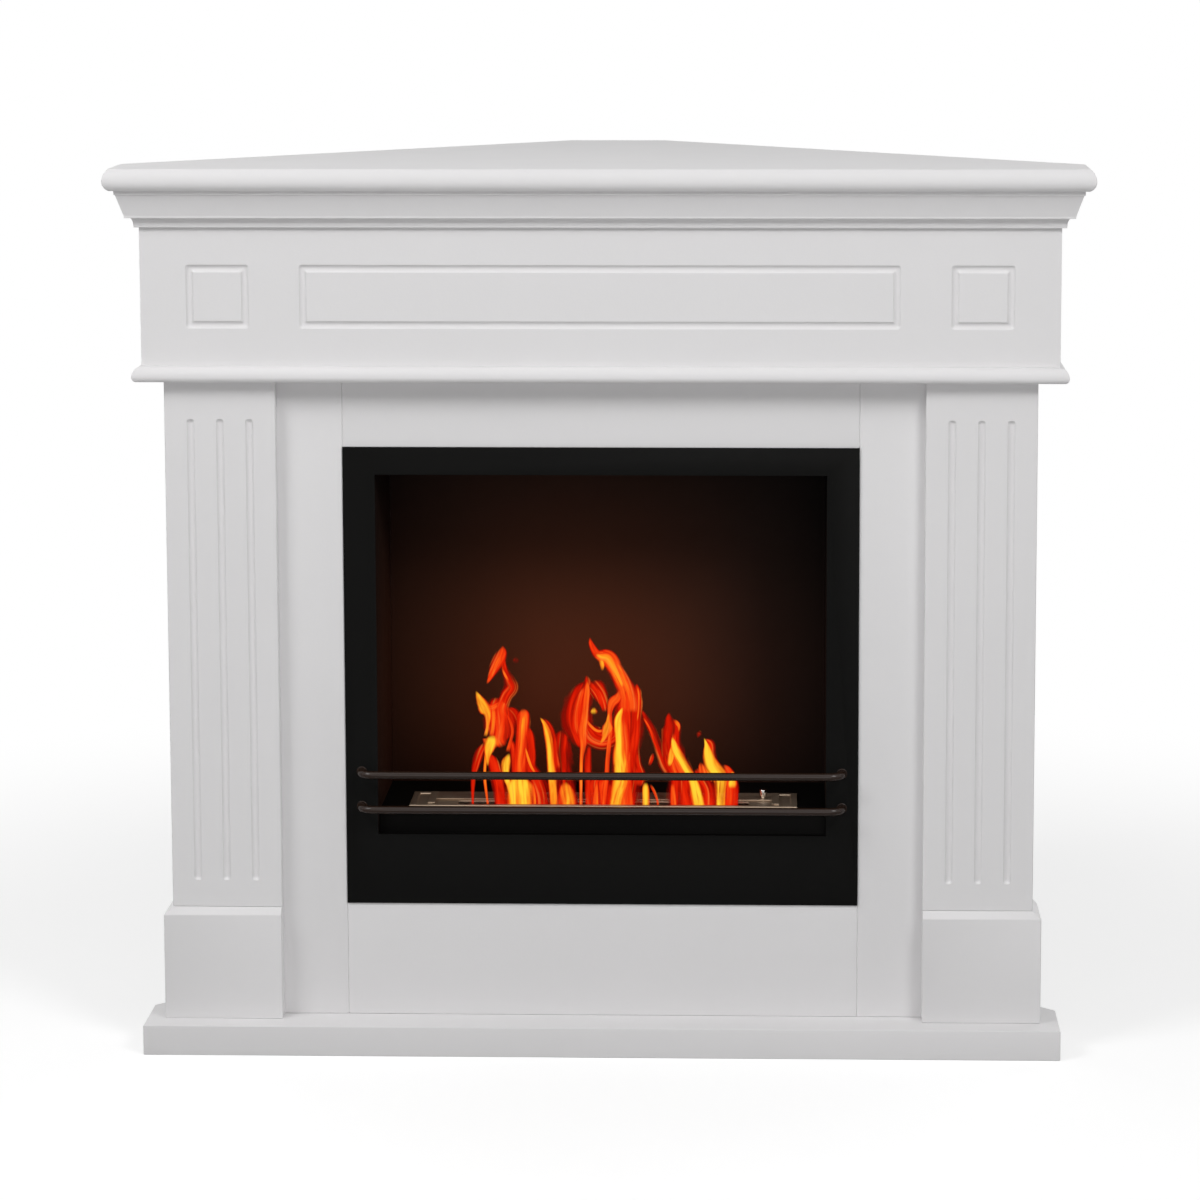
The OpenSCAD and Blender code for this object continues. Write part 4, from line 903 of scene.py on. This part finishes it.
seenThrough = mathNode(tree, "MULTIPLY", mathNode(tree, "MULTIPLY", rim, tip),
                       mathNode(tree, "MULTIPLY", wisps, flowParts["Z"]))
threads = noiseNode(tree, stretched(tree, flow, flames["threads"]), 1.0, detail=1)
pale = rangeNode(tree, threads, flameLook["threadFrom"], flameLook["threadTo"], 0, flameLook["threadShare"])
fireColour = mixColour(tree, pale, ramp.outputs["Color"], flameLook["thread"])
tree.links.new(fireColour, shader.inputs["Emission Color"])
tree.links.new(seenThrough, shader.inputs["Alpha"])
shader.inputs["Emission Strength"].default_value = flames["strength"]
shader.inputs["Base Color"].default_value = (0, 0, 0, 1)
shader.inputs["Specular IOR Level"].default_value = 0
shader.inputs["Roughness"].default_value = 1

# Three pieces, each of the tongues whose middles lie between two places on the slot
groups = {"left_flames": (-200, -68), "middle_flames": (-68, 48), "right_flames": (48, 200)}
for name, (leftEnd, rightEnd) in groups.items():
    made = [tongueParts(k, *tongue) for k, tongue in enumerate(tongues)
            if leftEnd <= np.mean([point[0] for point in tongue[-1]]) < rightEnd]
    points, fire, flow = [np.concatenate([part[k].reshape(-1, 3) for part in made]) for k in range(3)]
    offset, faces = 0, []
    for tongue in made:
        count, around = tongue[0].shape[:2]
        cap = np.arange(around)
        faces += (gridFaces(count, around, True) + offset).tolist()
        faces += [(cap + offset).tolist(), (cap + offset + (count - 1) * around).tolist()]
        offset += count * around
    mesh = bpy.data.meshes.new(name)
    mesh.from_pydata(points.tolist(), [], faces)
    for label, values in (("fire", fire), ("flow", flow)):
        layer = mesh.attributes.new(label, "FLOAT_VECTOR", "POINT")
        layer.data.foreach_set("vector", values.astype(np.float32).ravel())
    turnOutwards(mesh)
    piece = makePiece(mesh, fireFinish, "burner", sharp=flames["sharp"])
    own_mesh(piece)
print("flames lit")


# Lamps, sky and floor
lamps = {
    "key": {"place": (1.75, -2.6, 2.75), "aim": (0, -0.2, 0.6), "size": 1.1, "power": 44},
    "left": {"place": (-1.9, -1.9, 2.6), "aim": (0, -0.2, 0.6), "size": 1.3, "power": 38},
    "top": {"place": (0, -1.0, 3.4), "aim": (0, -0.3, 0.6), "size": 2.4, "power": 8},
    "front": {"place": (0.1, -3.2, 0.45), "aim": (0, -0.2, 0.3), "size": 1.6, "power": 10},
    "rear_left": {"place": (-2.3, 2.3, 1.1), "aim": (0, 0, 0.5), "size": 1.8, "power": 22},
    "rear_right": {"place": (2.3, 2.3, 1.1), "aim": (0, 0, 0.5), "size": 1.8, "power": 22},
}
for name, lamp in lamps.items():
    light = bpy.data.lights.new(name, "AREA")
    light.size = lamp["size"]
    light.energy = lamp["power"]
    holder = bpy.data.objects.new(name, light)
    holder.location = lamp["place"]
    holder.rotation_euler = (Vector(lamp["aim"]) - Vector(lamp["place"])).to_track_quat("-Z", "Y").to_euler()
    bpy.context.scene.collection.objects.link(holder)

surround = {"ambient": 0.17, "floorTone": 0.60, "mottle": 0.01, "mottleScale": 3.0, "floorLift": 0.55,
            "clearFrom": 0.8, "clearTo": 1.9, "half": 30.0}
world = bpy.data.worlds.new("studio")
tree = clearTree(world)
bpy.context.scene.world = world
rays = tree.nodes.new("ShaderNodeLightPath").outputs
seen = mathNode(tree, "MAXIMUM", rays["Is Camera Ray"],
                mathNode(tree, "MAXIMUM", rays["Is Glossy Ray"], rays["Is Transmission Ray"]))
sky = mixColour(tree, seen, (surround["ambient"],) * 3 + (1,), (1, 1, 1, 1))
background = addNode(tree, "ShaderNodeBackground", {"Color": sky, "Strength": 1.0})
output = tree.nodes.new("ShaderNodeOutputWorld")
tree.links.new(background.outputs[0], output.inputs["Surface"])

# Floor: pale paper under the object, which the camera sees as plain white farther out
paper = bpy.data.materials.new("floor_paper")
tree = clearTree(paper)
place = tree.nodes.new("ShaderNodeTexCoord").outputs["Object"]
byCamera = tree.nodes.new("ShaderNodeLightPath").outputs["Is Camera Ray"]
tones = [(surround["floorTone"] + sign * surround["mottle"],) * 3 + (1,) for sign in (-1, 1)]
paperColour = mixColour(tree, noiseNode(tree, place, surround["mottleScale"], detail=2), *tones)
matt = addNode(tree, "ShaderNodeBsdfDiffuse", {"Color": paperColour})
liftSeen = mathNode(tree, "MULTIPLY", byCamera, surround["floorLift"])
lift = addNode(tree, "ShaderNodeEmission", {"Strength": liftSeen})
near = addNode(tree, "ShaderNodeAddShader", {0: matt.outputs[0], 1: lift.outputs[0]})
clear = addNode(tree, "ShaderNodeEmission", {"Strength": 1.0})
clearing = rangeNode(tree, vectorMath(tree, "LENGTH", place, output="Value"),
                     surround["clearFrom"], surround["clearTo"], 0, 1)
blend = addNode(tree, "ShaderNodeMixShader", {0: mathNode(tree, "MULTIPLY", clearing, byCamera),
                                              1: near.outputs[0], 2: clear.outputs[0]})
output = tree.nodes.new("ShaderNodeOutputMaterial")
tree.links.new(blend.outputs[0], output.inputs["Surface"])
half = surround["half"]
mesh = bpy.data.meshes.new("floor")
mesh.from_pydata([(-half, -half, 0), (half, -half, 0), (half, half, 0), (-half, half, 0)], [], [(0, 1, 2, 3)])
mesh.materials.append(paper)
floor = bpy.data.objects.new("floor", mesh)
bpy.context.scene.collection.objects.link(floor)
print("studio lit")
